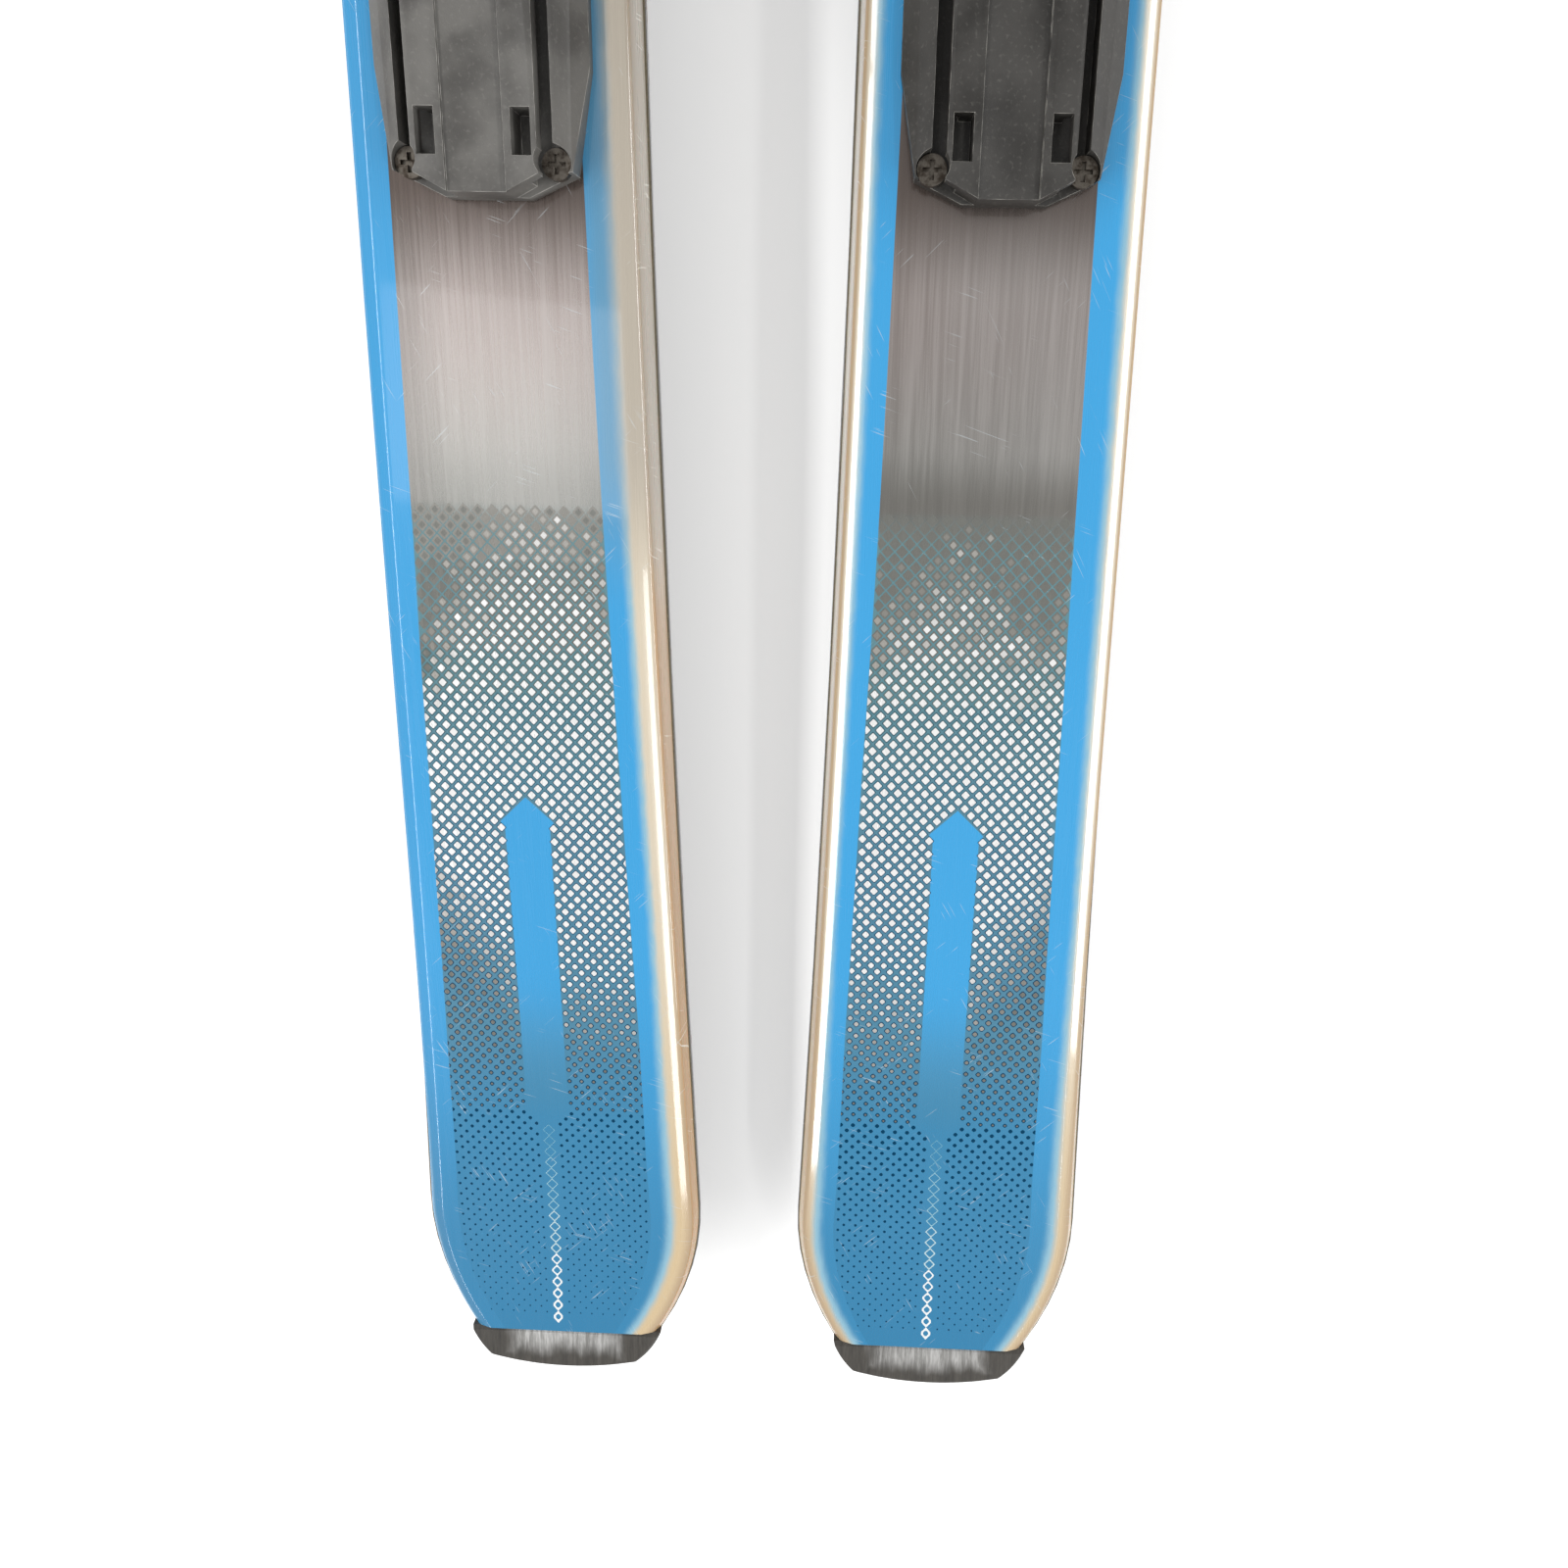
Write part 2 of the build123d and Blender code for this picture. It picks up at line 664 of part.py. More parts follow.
# Heel cup: a block hollowed for the boot's heel, with a roof above and a tongue below
with BuildPart() as heel_cup:
    cup_bottom = pivot_z - housing_floor
    roof_bottom = sole + heel_lug + lug_play
    heel_centre = boot_heel + sole_end_radius
    with BuildSketch(Plane.XY.offset(cup_bottom)) as block:
        with Locations((0, (cup_rear + cup_front) / 2)):
            Rectangle(cup_width, cup_depth)
        fillet(block.vertices().group_by(Axis.Y)[-1], cup_roof)
    extrude(amount=roof_bottom + cup_roof - cup_bottom)
    with BuildSketch(Plane.XY.offset(sole - foot_clearance)) as heel:
        with Locations((0, heel_centre)):
            Circle(sole_end_radius)
    extrude(amount=roof_bottom - sole + foot_clearance, mode=Mode.SUBTRACT)
    with BuildSketch(Plane.XY.offset(roof_bottom)) as roof:
        with Locations((0, heel_centre)):
            Circle(sole_end_radius - cup_lip)
    extrude(amount=cup_roof, mode=Mode.SUBTRACT)
    with BuildSketch(Plane.XY.offset(cup_bottom)) as tongue:
        with Locations((0, heel_centre)):
            Circle(sole_end_radius - cup_tongue_reach)
    extrude(amount=sole - cup_bottom, mode=Mode.SUBTRACT)
write_pair(heel_cup.part, "heel_cup")


def spring_tube(y, z, length, radius, core):
    """The outline of a coil spring lying along the ski: a plain tube."""
    with BuildPart() as tube:
        with BuildSketch(across(y + length)) as ring:
            with Locations((0, z)):
                Circle(radius)
                Circle(core, mode=Mode.SUBTRACT)
        extrude(amount=length)
    return tube.part


def release_screw(rear, z, length, slot_at_rear):
    """A screw plug along the ski with a crossed drive in its outer face."""
    face = rear if slot_at_rear else rear + length
    inward = -screw_drive_depth if slot_at_rear else screw_drive_depth
    with BuildPart() as plug:
        with BuildSketch(across(rear + length)) as end:
            with Locations((0, z)):
                Circle(release_screw_radius)
        extrude(amount=length)
        with BuildSketch(across(face)) as drive:
            with Locations((0, z)):
                Rectangle(2 * screw_drive_length, 2 * screw_drive_width)
                Rectangle(2 * screw_drive_width, 2 * screw_drive_length)
        extrude(amount=inward, mode=Mode.SUBTRACT)
    return plug.part


write_pair(
    spring_tube(
        heel_screw_front, heel_spring_z, heel_spring_length - foot_clearance,
        heel_spring_radius, heel_spring_core,
    ),
    "heel_spring",
)
write_pair(
    release_screw(heel_screw_rear, heel_spring_z, release_screw_length, slot_at_rear=True),
    "heel_release_screw",
)

# Heel lever: a hub on its pin, a neck through the housing's slot and a broad paddle
with BuildPart() as heel_lever:
    lean = radians(lever_angle)
    along = Plane(
        origin=(0, lever_pin_y, lever_pin_z), x_dir=(0, cos(lean), sin(lean)), z_dir=(1, 0, 0)
    )
    with BuildSketch(along.offset(-lever_neck_width / 2)) as neck:
        Circle(lever_hub_radius)
        with Locations((lever_length / 2, 0)):
            Rectangle(lever_length, lever_thickness)
    extrude(amount=lever_neck_width)
    with BuildSketch(along.offset(-lever_paddle_width / 2)) as paddle:
        with Locations(((lever_neck_length + lever_length) / 2, 0)):
            Rectangle(lever_length - lever_neck_length, lever_thickness)
        fillet(paddle.vertices(), lever_thickness / 3)
    extrude(amount=lever_paddle_width)
    with BuildSketch(along.offset(-lever_neck_width / 2)) as bore:
        Circle(lever_pin_diameter / 2 + pin_clearance)
    extrude(amount=lever_neck_width, mode=Mode.SUBTRACT)
write_pair(heel_lever.part, "heel_lever")

# Brake: a plate with two bored pads, a shaft with an arm at each end, pedal and feet
with BuildPart() as brake_plate:
    pad_rear = cup_front + brake_pad_gap
    pad_x = (carriage_width - brake_pad_width) / 2
    with BuildSketch(Plane.XY.offset(plate_top)) as pads:
        with Locations((-pad_x, (pad_rear + carriage_front) / 2), (pad_x, (pad_rear + carriage_front) / 2)):
            Rectangle(brake_pad_width, carriage_front - pad_rear)
    extrude(amount=sole - plate_top)
    with BuildSketch(Plane.XY.offset(plate_top)) as bridge:
        with Locations((0, carriage_front - brake_bridge_length / 2)):
            Rectangle(carriage_width - brake_pad_width, brake_bridge_length)
    extrude(amount=brake_bridge_height)
    with BuildSketch(Plane.YZ.offset(-carriage_width / 2)) as bore:
        with Locations((brake_y, brake_z)):
            Circle(brake_shaft_diameter / 2 + pin_clearance)
    extrude(amount=carriage_width, mode=Mode.SUBTRACT)
write_pair(brake_plate.part, "brake_plate")

arm_lean = pi + radians(brake_arm_angle)
arm_run = (0, cos(arm_lean), sin(arm_lean))


def arm_plane(x):
    """Plane along the brake's arms: its x runs down an arm from the shaft."""
    return Plane(origin=(x, brake_y, brake_z), x_dir=arm_run, z_dir=(1, 0, 0))


foot_y = brake_y + arm_length * cos(arm_lean)
foot_z = brake_z + arm_length * sin(arm_lean)

# One wire, bent down at both ends of its shaft
with BuildPart() as brake_arms:
    with BuildLine() as wire:
        FilletPolyline(
            (-arm_x, foot_y, foot_z), (-arm_x, brake_y, brake_z), (arm_x, brake_y, brake_z),
            (arm_x, foot_y, foot_z), radius=brake_bend_radius,
        )
    with BuildSketch(Plane(origin=wire.line @ 0, z_dir=wire.line % 0)) as rod:
        Circle(brake_shaft_diameter / 2)
    sweep(path=wire.line)
write_pair(brake_arms.part, "brake_arms")

with BuildPart() as brake_feet:
    for x in (-arm_x, arm_x):
        with BuildSketch(arm_plane(x - brake_foot_thickness / 2)) as foot:
            with Locations((arm_length - brake_foot_length / 2, 0)):
                SlotCenterToCenter(brake_foot_length, 2 * brake_foot_radius)
        extrude(amount=brake_foot_thickness)
    add(brake_arms.part, mode=Mode.SUBTRACT)
write_pair(brake_feet.part, "brake_feet")

with BuildPart() as brake_pedal:
    raised = radians(brake_pedal_angle)
    pedal_plane = Plane(
        origin=(-brake_pedal_width / 2, brake_y, brake_z),
        x_dir=(0, cos(raised), sin(raised)), z_dir=(1, 0, 0),
    )
    with BuildSketch(pedal_plane) as profile:
        Circle(brake_hub_radius)
        with Locations((brake_pedal_length / 2, brake_pedal_lift + brake_pedal_thickness / 2)):
            Rectangle(brake_pedal_length, brake_pedal_thickness)
        Circle(brake_shaft_diameter / 2, mode=Mode.SUBTRACT)
    extrude(amount=brake_pedal_width)
write_pair(brake_pedal.part, "brake_pedal")

# Toe base: a tapered plate, raised into a bridge under the boot with a slot for the slider
with BuildPart() as toe_base:
    neck_bottom = slider_bottom - slider_neck_height
    foot_bottom = neck_bottom - slider_foot_height
    with BuildSketch(Plane.XY.offset(deck)) as plan:
        with BuildLine():
            Polyline(
                (-toe_base_width / 2, toe_base_rear), (toe_base_width / 2, toe_base_rear),
                (toe_base_width / 2, toe_base_front - toe_base_taper),
                (toe_base_front_width / 2, toe_base_front),
                (-toe_base_front_width / 2, toe_base_front),
                (-toe_base_width / 2, toe_base_front - toe_base_taper), close=True,
            )
        make_face()
    extrude(amount=toe_base_height)
    with BuildSketch(Plane.XY.offset(deck)) as bridge:
        with Locations((0, slider_y)):
            Rectangle(toe_base_width, slider_bridge_length)
    extrude(amount=slider_bottom - slider_clearance - deck)
    with BuildSketch(Plane.YZ.offset(-toe_base_width / 2)) as slot:
        with Locations((slider_y, (neck_bottom + slider_bottom) / 2)):
            Rectangle(slider_neck_width + 2 * slider_clearance, slider_neck_height)
        with Locations((slider_y, (foot_bottom + neck_bottom) / 2)):
            Rectangle(
                slider_foot_width + 2 * slider_clearance, slider_foot_height + 2 * slider_clearance
            )
    extrude(amount=toe_base_width, mode=Mode.SUBTRACT)
    with BuildSketch(Plane.XY.offset(deck + track_floor)) as wells:
        with Locations(toe_screws):
            Circle(screw_head_diameter / 2 + screw_clearance)
    extrude(amount=sole_height, mode=Mode.SUBTRACT)
    with BuildSketch(Plane.XY.offset(deck)) as holes:
        with Locations(toe_screws):
            Circle(screw_shank_diameter / 2)
    extrude(amount=track_floor, mode=Mode.SUBTRACT)
write_pair(toe_base.part, "toe_base")

with BuildPart() as toe_slider:
    with BuildSketch(Plane.YZ.offset(-slider_width / 2)) as profile:
        with Locations((slider_y, slider_bottom + slider_thickness / 2)):
            Rectangle(slider_length, slider_thickness)
        with Locations((slider_y, slider_bottom - slider_neck_height / 2)):
            Rectangle(slider_neck_width, slider_neck_height)
        with Locations((slider_y, neck_bottom - slider_foot_height / 2)):
            Rectangle(slider_foot_width, slider_foot_height)
    extrude(amount=slider_width)
write_pair(toe_slider.part, "toe_slider")

# Toe housing: a rounded block with a slot on each side for its wing, a spring inside
with BuildPart() as toe_housing:
    nose = toe_base_front
    toe_housing_length = nose - toe_housing_rear
    crown_end = toe_housing_rear + toe_housing_crown
    top = deck + toe_housing_height
    with BuildSketch(Plane.YZ.offset(-toe_housing_width / 2)) as profile:
        with BuildLine():
            Polyline(
                (crown_end, top), (toe_housing_rear, top), (toe_housing_rear, toe_housing_bottom),
                (nose, toe_housing_bottom), (nose, deck + toe_nose_height),
            )
            bulge_y = (crown_end + nose) / 2 + toe_nose_bulge
            bulge_z = (top + deck + toe_nose_height) / 2 + toe_nose_bulge
            ThreePointArc((nose, deck + toe_nose_height), (bulge_y, bulge_z), (crown_end, top))
        make_face()
    extrude(amount=toe_housing_width)
    with BuildSketch(across(nose)) as crown:
        with Locations((0, (toe_housing_bottom + top) / 2)):
            Rectangle(toe_housing_width, top - toe_housing_bottom)
        fillet(crown.vertices().group_by(Axis.Y)[-1], toe_crown_radius)
    extrude(amount=toe_housing_length, mode=Mode.INTERSECT)
    slot_front = wing_y + wing_slot_length / 2
    slot_inner = wing_inner - 2 * side_clearance
    with BuildSketch(Plane.XY.offset(wing_bottom - side_clearance)) as slots:
        for hand in (-1, 1):
            slot_x = hand * (slot_inner + toe_housing_width / 2)
            with Locations((slot_x, slot_front - toe_housing_crown / 2)):
                Rectangle(toe_housing_width, toe_housing_crown)
    extrude(amount=wing_height + 2 * side_clearance, mode=Mode.SUBTRACT)
    with BuildSketch(Plane.XY.offset(wing_bottom + wing_height / 2 - wing_pin_length / 2)) as pins:
        with Locations((-wing_x, wing_y), (wing_x, wing_y)):
            Circle(wing_pin_diameter / 2)
    extrude(amount=wing_pin_length, mode=Mode.SUBTRACT)
    with BuildSketch(across(nose)) as spring_bore:
        with Locations((0, toe_spring_z)):
            Circle(release_screw_radius + release_screw_clearance)
    extrude(amount=nose - toe_spring_rear + toe_spring_gap, mode=Mode.SUBTRACT)
write_pair(toe_housing.part, "toe_housing")

with BuildPart() as wing_pins:
    with BuildSketch(Plane.XY.offset(wing_bottom + wing_height / 2 - wing_pin_length / 2)) as ends:
        with Locations((-wing_x, wing_y), (wing_x, wing_y)):
            Circle(wing_pin_diameter / 2)
    extrude(amount=wing_pin_length)
write_pair(wing_pins.part, "wing_pins")


def toe_wing(hand):
    """One wing: a bored hub and an arm hollowed for the boot's toe, with a roof lip."""
    inner = hand * wing_inner
    outer = hand * wing_spread
    with BuildPart() as wing:
        with BuildSketch(Plane.XY.offset(wing_bottom)) as plan:
            with BuildLine():
                Polyline(
                    (inner, wing_y - wing_hub_radius), (inner, boot_toe),
                    (hand * (wing_spread - wing_lip), boot_toe - wing_reach),
                    (outer, boot_toe - wing_reach), (outer, boot_toe + wing_reach / 3),
                    (hand * (wing_x + wing_hub_radius), wing_y), close=True,
                )
            make_face()
            with Locations((hand * wing_x, wing_y)):
                Circle(wing_hub_radius)
        extrude(amount=wing_height)
        lug_roof = sole + toe_lug + lug_play
        toe_centre = boot_toe - sole_end_radius
        with BuildSketch(Plane.XY.offset(wing_bottom)) as toe:
            with Locations((0, toe_centre)):
                Circle(sole_end_radius + foot_clearance)
        extrude(amount=lug_roof - wing_bottom, mode=Mode.SUBTRACT)
        with BuildSketch(Plane.XY.offset(lug_roof)) as lip:
            with Locations((0, toe_centre)):
                Circle(sole_end_radius - wing_lip)
        extrude(amount=wing_height, mode=Mode.SUBTRACT)
        with BuildSketch(Plane.XY.offset(wing_bottom)) as bore:
            with Locations((hand * wing_x, wing_y)):
                Circle(wing_pin_diameter / 2 + pin_clearance)
        extrude(amount=wing_height, mode=Mode.SUBTRACT)
    return wing.part


write_pair(toe_wing(-1), "toe_wing_left")
write_pair(toe_wing(1), "toe_wing_right")

write_pair(
    spring_tube(
        toe_spring_rear, toe_spring_z, toe_spring_length, heel_spring_radius, heel_spring_core
    ),
    "toe_spring",
)
write_pair(
    release_screw(toe_screw_rear, toe_spring_z, toe_screw_length, slot_at_rear=False),
    "toe_release_screw",
)
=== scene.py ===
import bmesh
import bpy
import numpy as np
from math import pi
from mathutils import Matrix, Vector


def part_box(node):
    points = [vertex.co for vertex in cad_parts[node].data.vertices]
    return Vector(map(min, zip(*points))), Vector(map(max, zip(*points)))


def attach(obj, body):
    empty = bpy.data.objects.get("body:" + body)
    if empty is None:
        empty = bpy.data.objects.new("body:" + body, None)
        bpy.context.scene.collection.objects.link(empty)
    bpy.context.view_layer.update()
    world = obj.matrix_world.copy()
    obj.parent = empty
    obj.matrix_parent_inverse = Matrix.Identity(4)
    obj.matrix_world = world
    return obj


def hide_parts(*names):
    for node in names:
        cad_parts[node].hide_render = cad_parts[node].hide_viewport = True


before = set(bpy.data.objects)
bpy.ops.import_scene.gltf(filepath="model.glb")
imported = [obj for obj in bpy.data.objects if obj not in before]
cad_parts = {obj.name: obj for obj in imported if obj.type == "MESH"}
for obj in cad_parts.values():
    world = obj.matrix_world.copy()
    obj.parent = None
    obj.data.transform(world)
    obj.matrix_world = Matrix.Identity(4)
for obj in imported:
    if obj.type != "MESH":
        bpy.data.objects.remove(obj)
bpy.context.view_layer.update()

scene = bpy.context.scene
SIDES = ("left", "right")
MM = 0.001


# ------------------------ top sheet
# The printed plastic sheet over each ski: clear gloss over a blue print that fades out
# to bare sheet at the edges, with a strip of brushed foil down the middle. It is
# glued down hot in the press, and its shoulders are rounded off with the sidewalls.
waist_width, sidecut_radius = 79.0, 14500.0
tail_cut, tail_rounding, tip_rounding = 37.0, 55.0, 130.0
brake_reach, camber = 36.0, 4.0
tail_kick, kick_length, tip_rise, rise_length = 6.0, 60.0, 55.0, 200.0
deck, tail_thickness, tip_thickness = 56.0, 7.0, 6.5
tail_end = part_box("left_tail_protector")[0].y / MM
tip_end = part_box("left_running_base")[1].y / MM
sheet_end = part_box("left_top_sheet")[0].y / MM
waist = tail_end + 665.5
tail_contact, tip_contact = tail_end + kick_length, tip_end - rise_length
deck_rear, deck_front = waist - 272.0, waist + 295.0
centre_x = {side: (low.x + high.x) / 2 / MM
            for side in SIDES for low, high in [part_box(f"{side}_wood_core")]}


def sidecut(y):
    """Half the ski's width on the sidecut: a parabola about the waist."""
    return waist_width / 2 + (y - waist) ** 2 / (2 * sidecut_radius)


def half_width(y):
    """Half width with the tail rounded in: behind the rounding's start, a circular arc
    that is tangent to the sidecut there and passes through the corner of the tail cut."""
    start = sheet_end + tail_rounding
    slope = (waist - start) / sidecut_radius
    inward = np.array([-1.0, -slope]) / np.hypot(slope, 1)
    chord = np.array([tail_cut - sidecut(start), sheet_end - start])
    radius = chord @ chord / (2 * chord @ inward)
    centre = np.array([sidecut(start), start]) + inward * radius
    arc = centre[0] + np.sqrt(np.clip(radius**2 - (y - centre[1]) ** 2, 0, None))
    return np.where(y < start, arc, sidecut(y))


def base_height(y):
    """Height of the running surface: parabolas for the tail kick, camber and tip."""
    middle = (tail_contact + tip_contact) / 2
    arch = brake_reach + camber * (1 - (2 * (y - middle) / (tip_contact - tail_contact)) ** 2)
    kick = brake_reach + tail_kick * ((tail_contact - y) / kick_length) ** 2
    tip = brake_reach + tip_rise * ((y - tip_contact) / rise_length) ** 2
    return np.where(y < tail_contact, kick, np.where(y > tip_contact, tip, arch))


def top_height(y):
    """Height of the top: level under the binding, then a cosine thinning to both ends."""
    rear = (deck_rear - y) / (deck_rear - tail_end)
    front = np.minimum((y - deck_front) / (tip_contact - deck_front), 1)
    run = np.where(y < deck_rear, rear, front)
    end = np.where(y < deck_rear, tail_thickness, tip_thickness)
    at_deck = np.where(y < deck_rear, base_height(deck_rear), base_height(deck_front))
    thinned = base_height(y) + end + (deck - at_deck - end) * (1 + np.cos(pi * run)) / 2
    return np.where((y >= deck_rear) & (y <= deck_front), deck, thinned)


tip_start = tip_end - tip_rounding
tail_rows = np.linspace(sheet_end, sheet_end + tail_rounding, 26)[:-1]
side_rows = np.linspace(sheet_end + tail_rounding, tip_start, 230)[:-1]
tip_turn, tip_ease = np.linspace(0, pi / 2, 56), 0.15


def inset_outline(inset):
    """Half the ski's outline drawn in by inset, as x and y from the tail cut to the tip.

    The sides move straight in. The tip is a quarter ellipse, eased to meet the sidecut's
    slope, and moves in along its own normal."""
    y = np.concatenate([tail_rows, side_rows])
    slope = np.gradient(half_width(y), y)
    x = half_width(y) - inset * np.hypot(1, slope)
    lean = (tip_start - waist) / sidecut_radius
    rise = tip_rounding * np.sin(tip_turn)
    tip_x = sidecut(tip_start) * np.cos(tip_turn) + lean * rise * np.cos(tip_turn) ** 2
    tip_y = tip_start + rise
    run_x, run_y = np.gradient(tip_x), np.gradient(tip_y)
    run = np.hypot(run_x, run_y)
    ahead = np.clip(tip_turn / tip_ease, 0, 1)
    tip_x, tip_y = tip_x - inset * run_y / run, tip_y + inset * run_x / run * ahead
    tip_x[-1] = 0.0
    return np.concatenate([x, np.maximum(tip_x, 0)]), np.concatenate([y, tip_y])


shoulder_inner, shoulder_width, shoulder_slope, shoulder_ease = 7.0, 3.9, 0.38, 0.22
rim_slope, rim_width = 0.8, 1.0


def shoulder(inset):
    """How far the top falls away at this distance in from the edge: a chamfer of even
    slope, eased into the flat of the top by a parabola over its inner fifth, and a
    steeper rim outside it."""
    share = np.clip((shoulder_inner - inset) / shoulder_width, 0, 1)
    eased = share**2 / (2 * shoulder_ease)
    fall = np.where(share < shoulder_ease, eased, share - shoulder_ease / 2)
    rim = np.clip(shoulder_inner - shoulder_width - inset, 0, rim_width)
    return shoulder_slope * shoulder_width * fall + rim_slope * rim


def grid_quads(rows, columns):
    """Corner numbers of the faces of a rows by columns grid of points."""
    at = np.arange(rows * columns).reshape(rows, columns)
    return np.stack([at[:-1, :-1], at[:-1, 1:], at[1:, 1:], at[1:, :-1]], -1).reshape(-1, 4)


def mesh_piece(name, points, faces, fields=None, smooth=True, sharp=None, merge=0.0):
    """A piece from points in millimetres and faces, closed up and turned outwards."""
    mesh = bpy.data.meshes.new(name)
    mesh.from_pydata((np.asarray(points) * MM).tolist(), [], [list(f) for f in faces])
    for key, values in (fields or {}).items():
        mesh.attributes.new(key, "FLOAT", "POINT").data.foreach_set("value", np.ravel(values))
    if merge:
        work = bmesh.new()
        work.from_mesh(mesh)
        bmesh.ops.remove_doubles(work, verts=work.verts, dist=merge * MM)
        bmesh.ops.dissolve_degenerate(work, edges=work.edges, dist=merge * MM)
        bmesh.ops.recalc_face_normals(work, faces=work.faces)
        work.to_mesh(mesh)
        work.free()
    mesh.polygons.foreach_set("use_smooth", [smooth] * len(mesh.polygons))
    if sharp:
        mesh.set_sharp_from_angle(angle=sharp)
    piece = bpy.data.objects.new(name, mesh)
    scene.collection.objects.link(piece)
    return piece


def fit(piece, body, slot, material, *nodes):
    """Put the piece on its body, with its finish and the pieces it stands for."""
    piece.data.materials.append(material)
    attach(piece, body)
    if nodes:
        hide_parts(*nodes)


def plug(node, **sockets):
    """Set or link a node's sockets, named with _ for a space, or numbered as i0, i1."""
    for key, value in sockets.items():
        socket = node.inputs[int(key[1:]) if key[1:].isdigit() else key.replace("_", " ")]
        if isinstance(value, bpy.types.NodeSocket):
            tree.links.new(value, socket)
        else:
            socket.default_value = value
    return node


def shade(kind, settings=None, **sockets):
    """Add a node, with its settings and its sockets."""
    made = tree.nodes.new("ShaderNode" + kind)
    for key, value in (settings or {}).items():
        setattr(made, key, value)
    return plug(made, **sockets)


def sums(operation, a, b=0.0, c=0.0):
    """The result of a Math node."""
    return shade("Math", {"operation": operation}, i0=a, i1=b, i2=c).outputs[0]


def scaled(value, by, plus):
    """The value times one number or mask, plus another."""
    return sums("MULTIPLY_ADD", value, by, plus)


def product(first, *others):
    """The product of masks and numbers."""
    for other in others:
        first = sums("MULTIPLY", first, other)
    return first


def between(value, low, high, out_low=0.0, out_high=1.0):
    """A smooth step: out_low where value is below low, out_high above high."""
    smooth = {"interpolation_type": "SMOOTHSTEP", "clamp": True}
    return shade("MapRange", smooth, Value=value, From_Min=low, From_Max=high,
                 To_Min=out_low, To_Max=out_high).outputs[0]


def paint(red, green, blue):
    """A colour given in ordinary screen values, 0 to 255, as linear light."""
    c = np.array([red, green, blue]) / 255
    return (*np.where(c <= 0.04045, c / 12.92, ((c + 0.055) / 1.055) ** 2.4), 1.0)


def blend(factor, a, b):
    """The mix of two colours by a factor: sockets, or screen values as paint takes."""
    a, b = (c if isinstance(c, bpy.types.NodeSocket) else paint(*c) for c in (a, b))
    return shade("Mix", {"data_type": "RGBA"}, i0=factor, i6=a, i7=b).outputs[2]


def noise(scale, stretch=(1, 1, 1), detail=3.0, rough=0.5, offset=(0, 0, 0)):
    """Noise over the object, stretched along its axes; scale is in cycles per metre."""
    place = shade("TexCoord").outputs["Object"]
    turned = shade("Mapping", Vector=place, Location=offset, Scale=stretch).outputs[0]
    return shade("TexNoise", Vector=turned, Scale=scale, Detail=detail,
                 Roughness=rough).outputs[0]


def material(name):
    """A new material; the calls after it build its tree and dress its surface shader."""
    global tree, surface
    made = bpy.data.materials.new(name)
    made.use_nodes = True
    tree = made.node_tree
    surface = tree.nodes["Principled BSDF"]
    return made


def dress(**sockets):
    """Set or link the sockets of the surface shader."""
    plug(surface, **sockets)


def relief(height, strength, depth):
    """Raise the surface by a pattern, to a depth in millimetres."""
    bump = shade("Bump", Strength=strength, Distance=depth * MM, Height=height)
    dress(Normal=bump.outputs[0])


def field(name):
    """A value stored on the piece's points."""
    return shade("Attribute", {"attribute_name": name}).outputs["Fac"]


def own_axes():
    """The X, Y and Z sockets of the piece's own coordinates, in metres."""
    return shade("SeparateXYZ", Vector=shade("TexCoord").outputs["Object"]).outputs


def effect(name, **inputs):
    """A node group with float inputs and a mask as its output, and its two ends. The
    calls after it build the group."""
    global tree
    group = tree = bpy.data.node_groups.new(name, "ShaderNodeTree")
    for key, value in inputs.items():
        socket = group.interface.new_socket(key, in_out="INPUT", socket_type="NodeSocketFloat")
        socket.default_value = value
    group.interface.new_socket("Mask", in_out="OUTPUT", socket_type="NodeSocketFloat")
    return group, group.nodes.new("NodeGroupInput").outputs, group.nodes.new("NodeGroupOutput")


def mask(group, **values):
    """The mask of a node group placed in a material with its own values."""
    return shade("Group", {"node_tree": group}, **values).outputs["Mask"]


# Scratches from skis rubbing in a bag: thin short lines at three slants
scratches, given, out = effect("scratches", Density=0.5)
lines = 0.0
for slant, seed in ((0.5, 1.3), (-0.8, 4.1), (1.25, 7.7)):
    place = shade("TexCoord").outputs["Object"]
    turned = shade("Mapping", {"vector_type": "TEXTURE"}, Vector=place,
                   Rotation=(0, 0, slant), Location=(seed, 0, 0), Scale=(1, 34, 34)).outputs[0]
    streak = shade("TexNoise", Vector=turned, Scale=2600.0, Detail=0.0).outputs[0]
    patch = noise(60.0, offset=(seed, seed, 0), detail=2.0)
    line = product(between(streak, 0.755, 0.79), between(patch, 0.56, 0.66))
    lines = sums("MAXIMUM", lines, line)
plug(out, Mask=product(lines, given["Density"]))

# Millimetres along the ski from the sheet's tail end: the front of the tail's lattice and
# the rear of the tip's, and the blank tag. The foil panel's width and the sideways shift
# of the whole print are given at print_steps.
lattice_front, front_lattice = 317.0, 1175.0
tag_tip, tag_end, tag_half, tag_fade = 222.0, 97.0, 7.5, 60.0
barb_start, barb_half = 211.0, 8.7
print_steps = [30, 75, 135, 230, 306]
panel_insets = [15.3, 15.3, 14.4, 14.15, 14.4]
misprint = {"left": [-2.8, -2.6, -2.3, -2.2, -1.8], "right": [-1.6, -1.6, -1.7, -1.8, -1.6]}
panel_margin = 12.2
left_middle = centre_x["left"] * MM


def at_print(t, values):
    """A measure of the print at distance t from the tail; the tip's print mirrors it."""
    return np.interp(np.minimum(t, front_lattice + lattice_front - t), print_steps, values)


def outer_side(sideways, strength):
    """A mask over the outer half of the left ski."""
    return between(sideways, left_middle - 0.004, left_middle + 0.004, strength, 0.0)


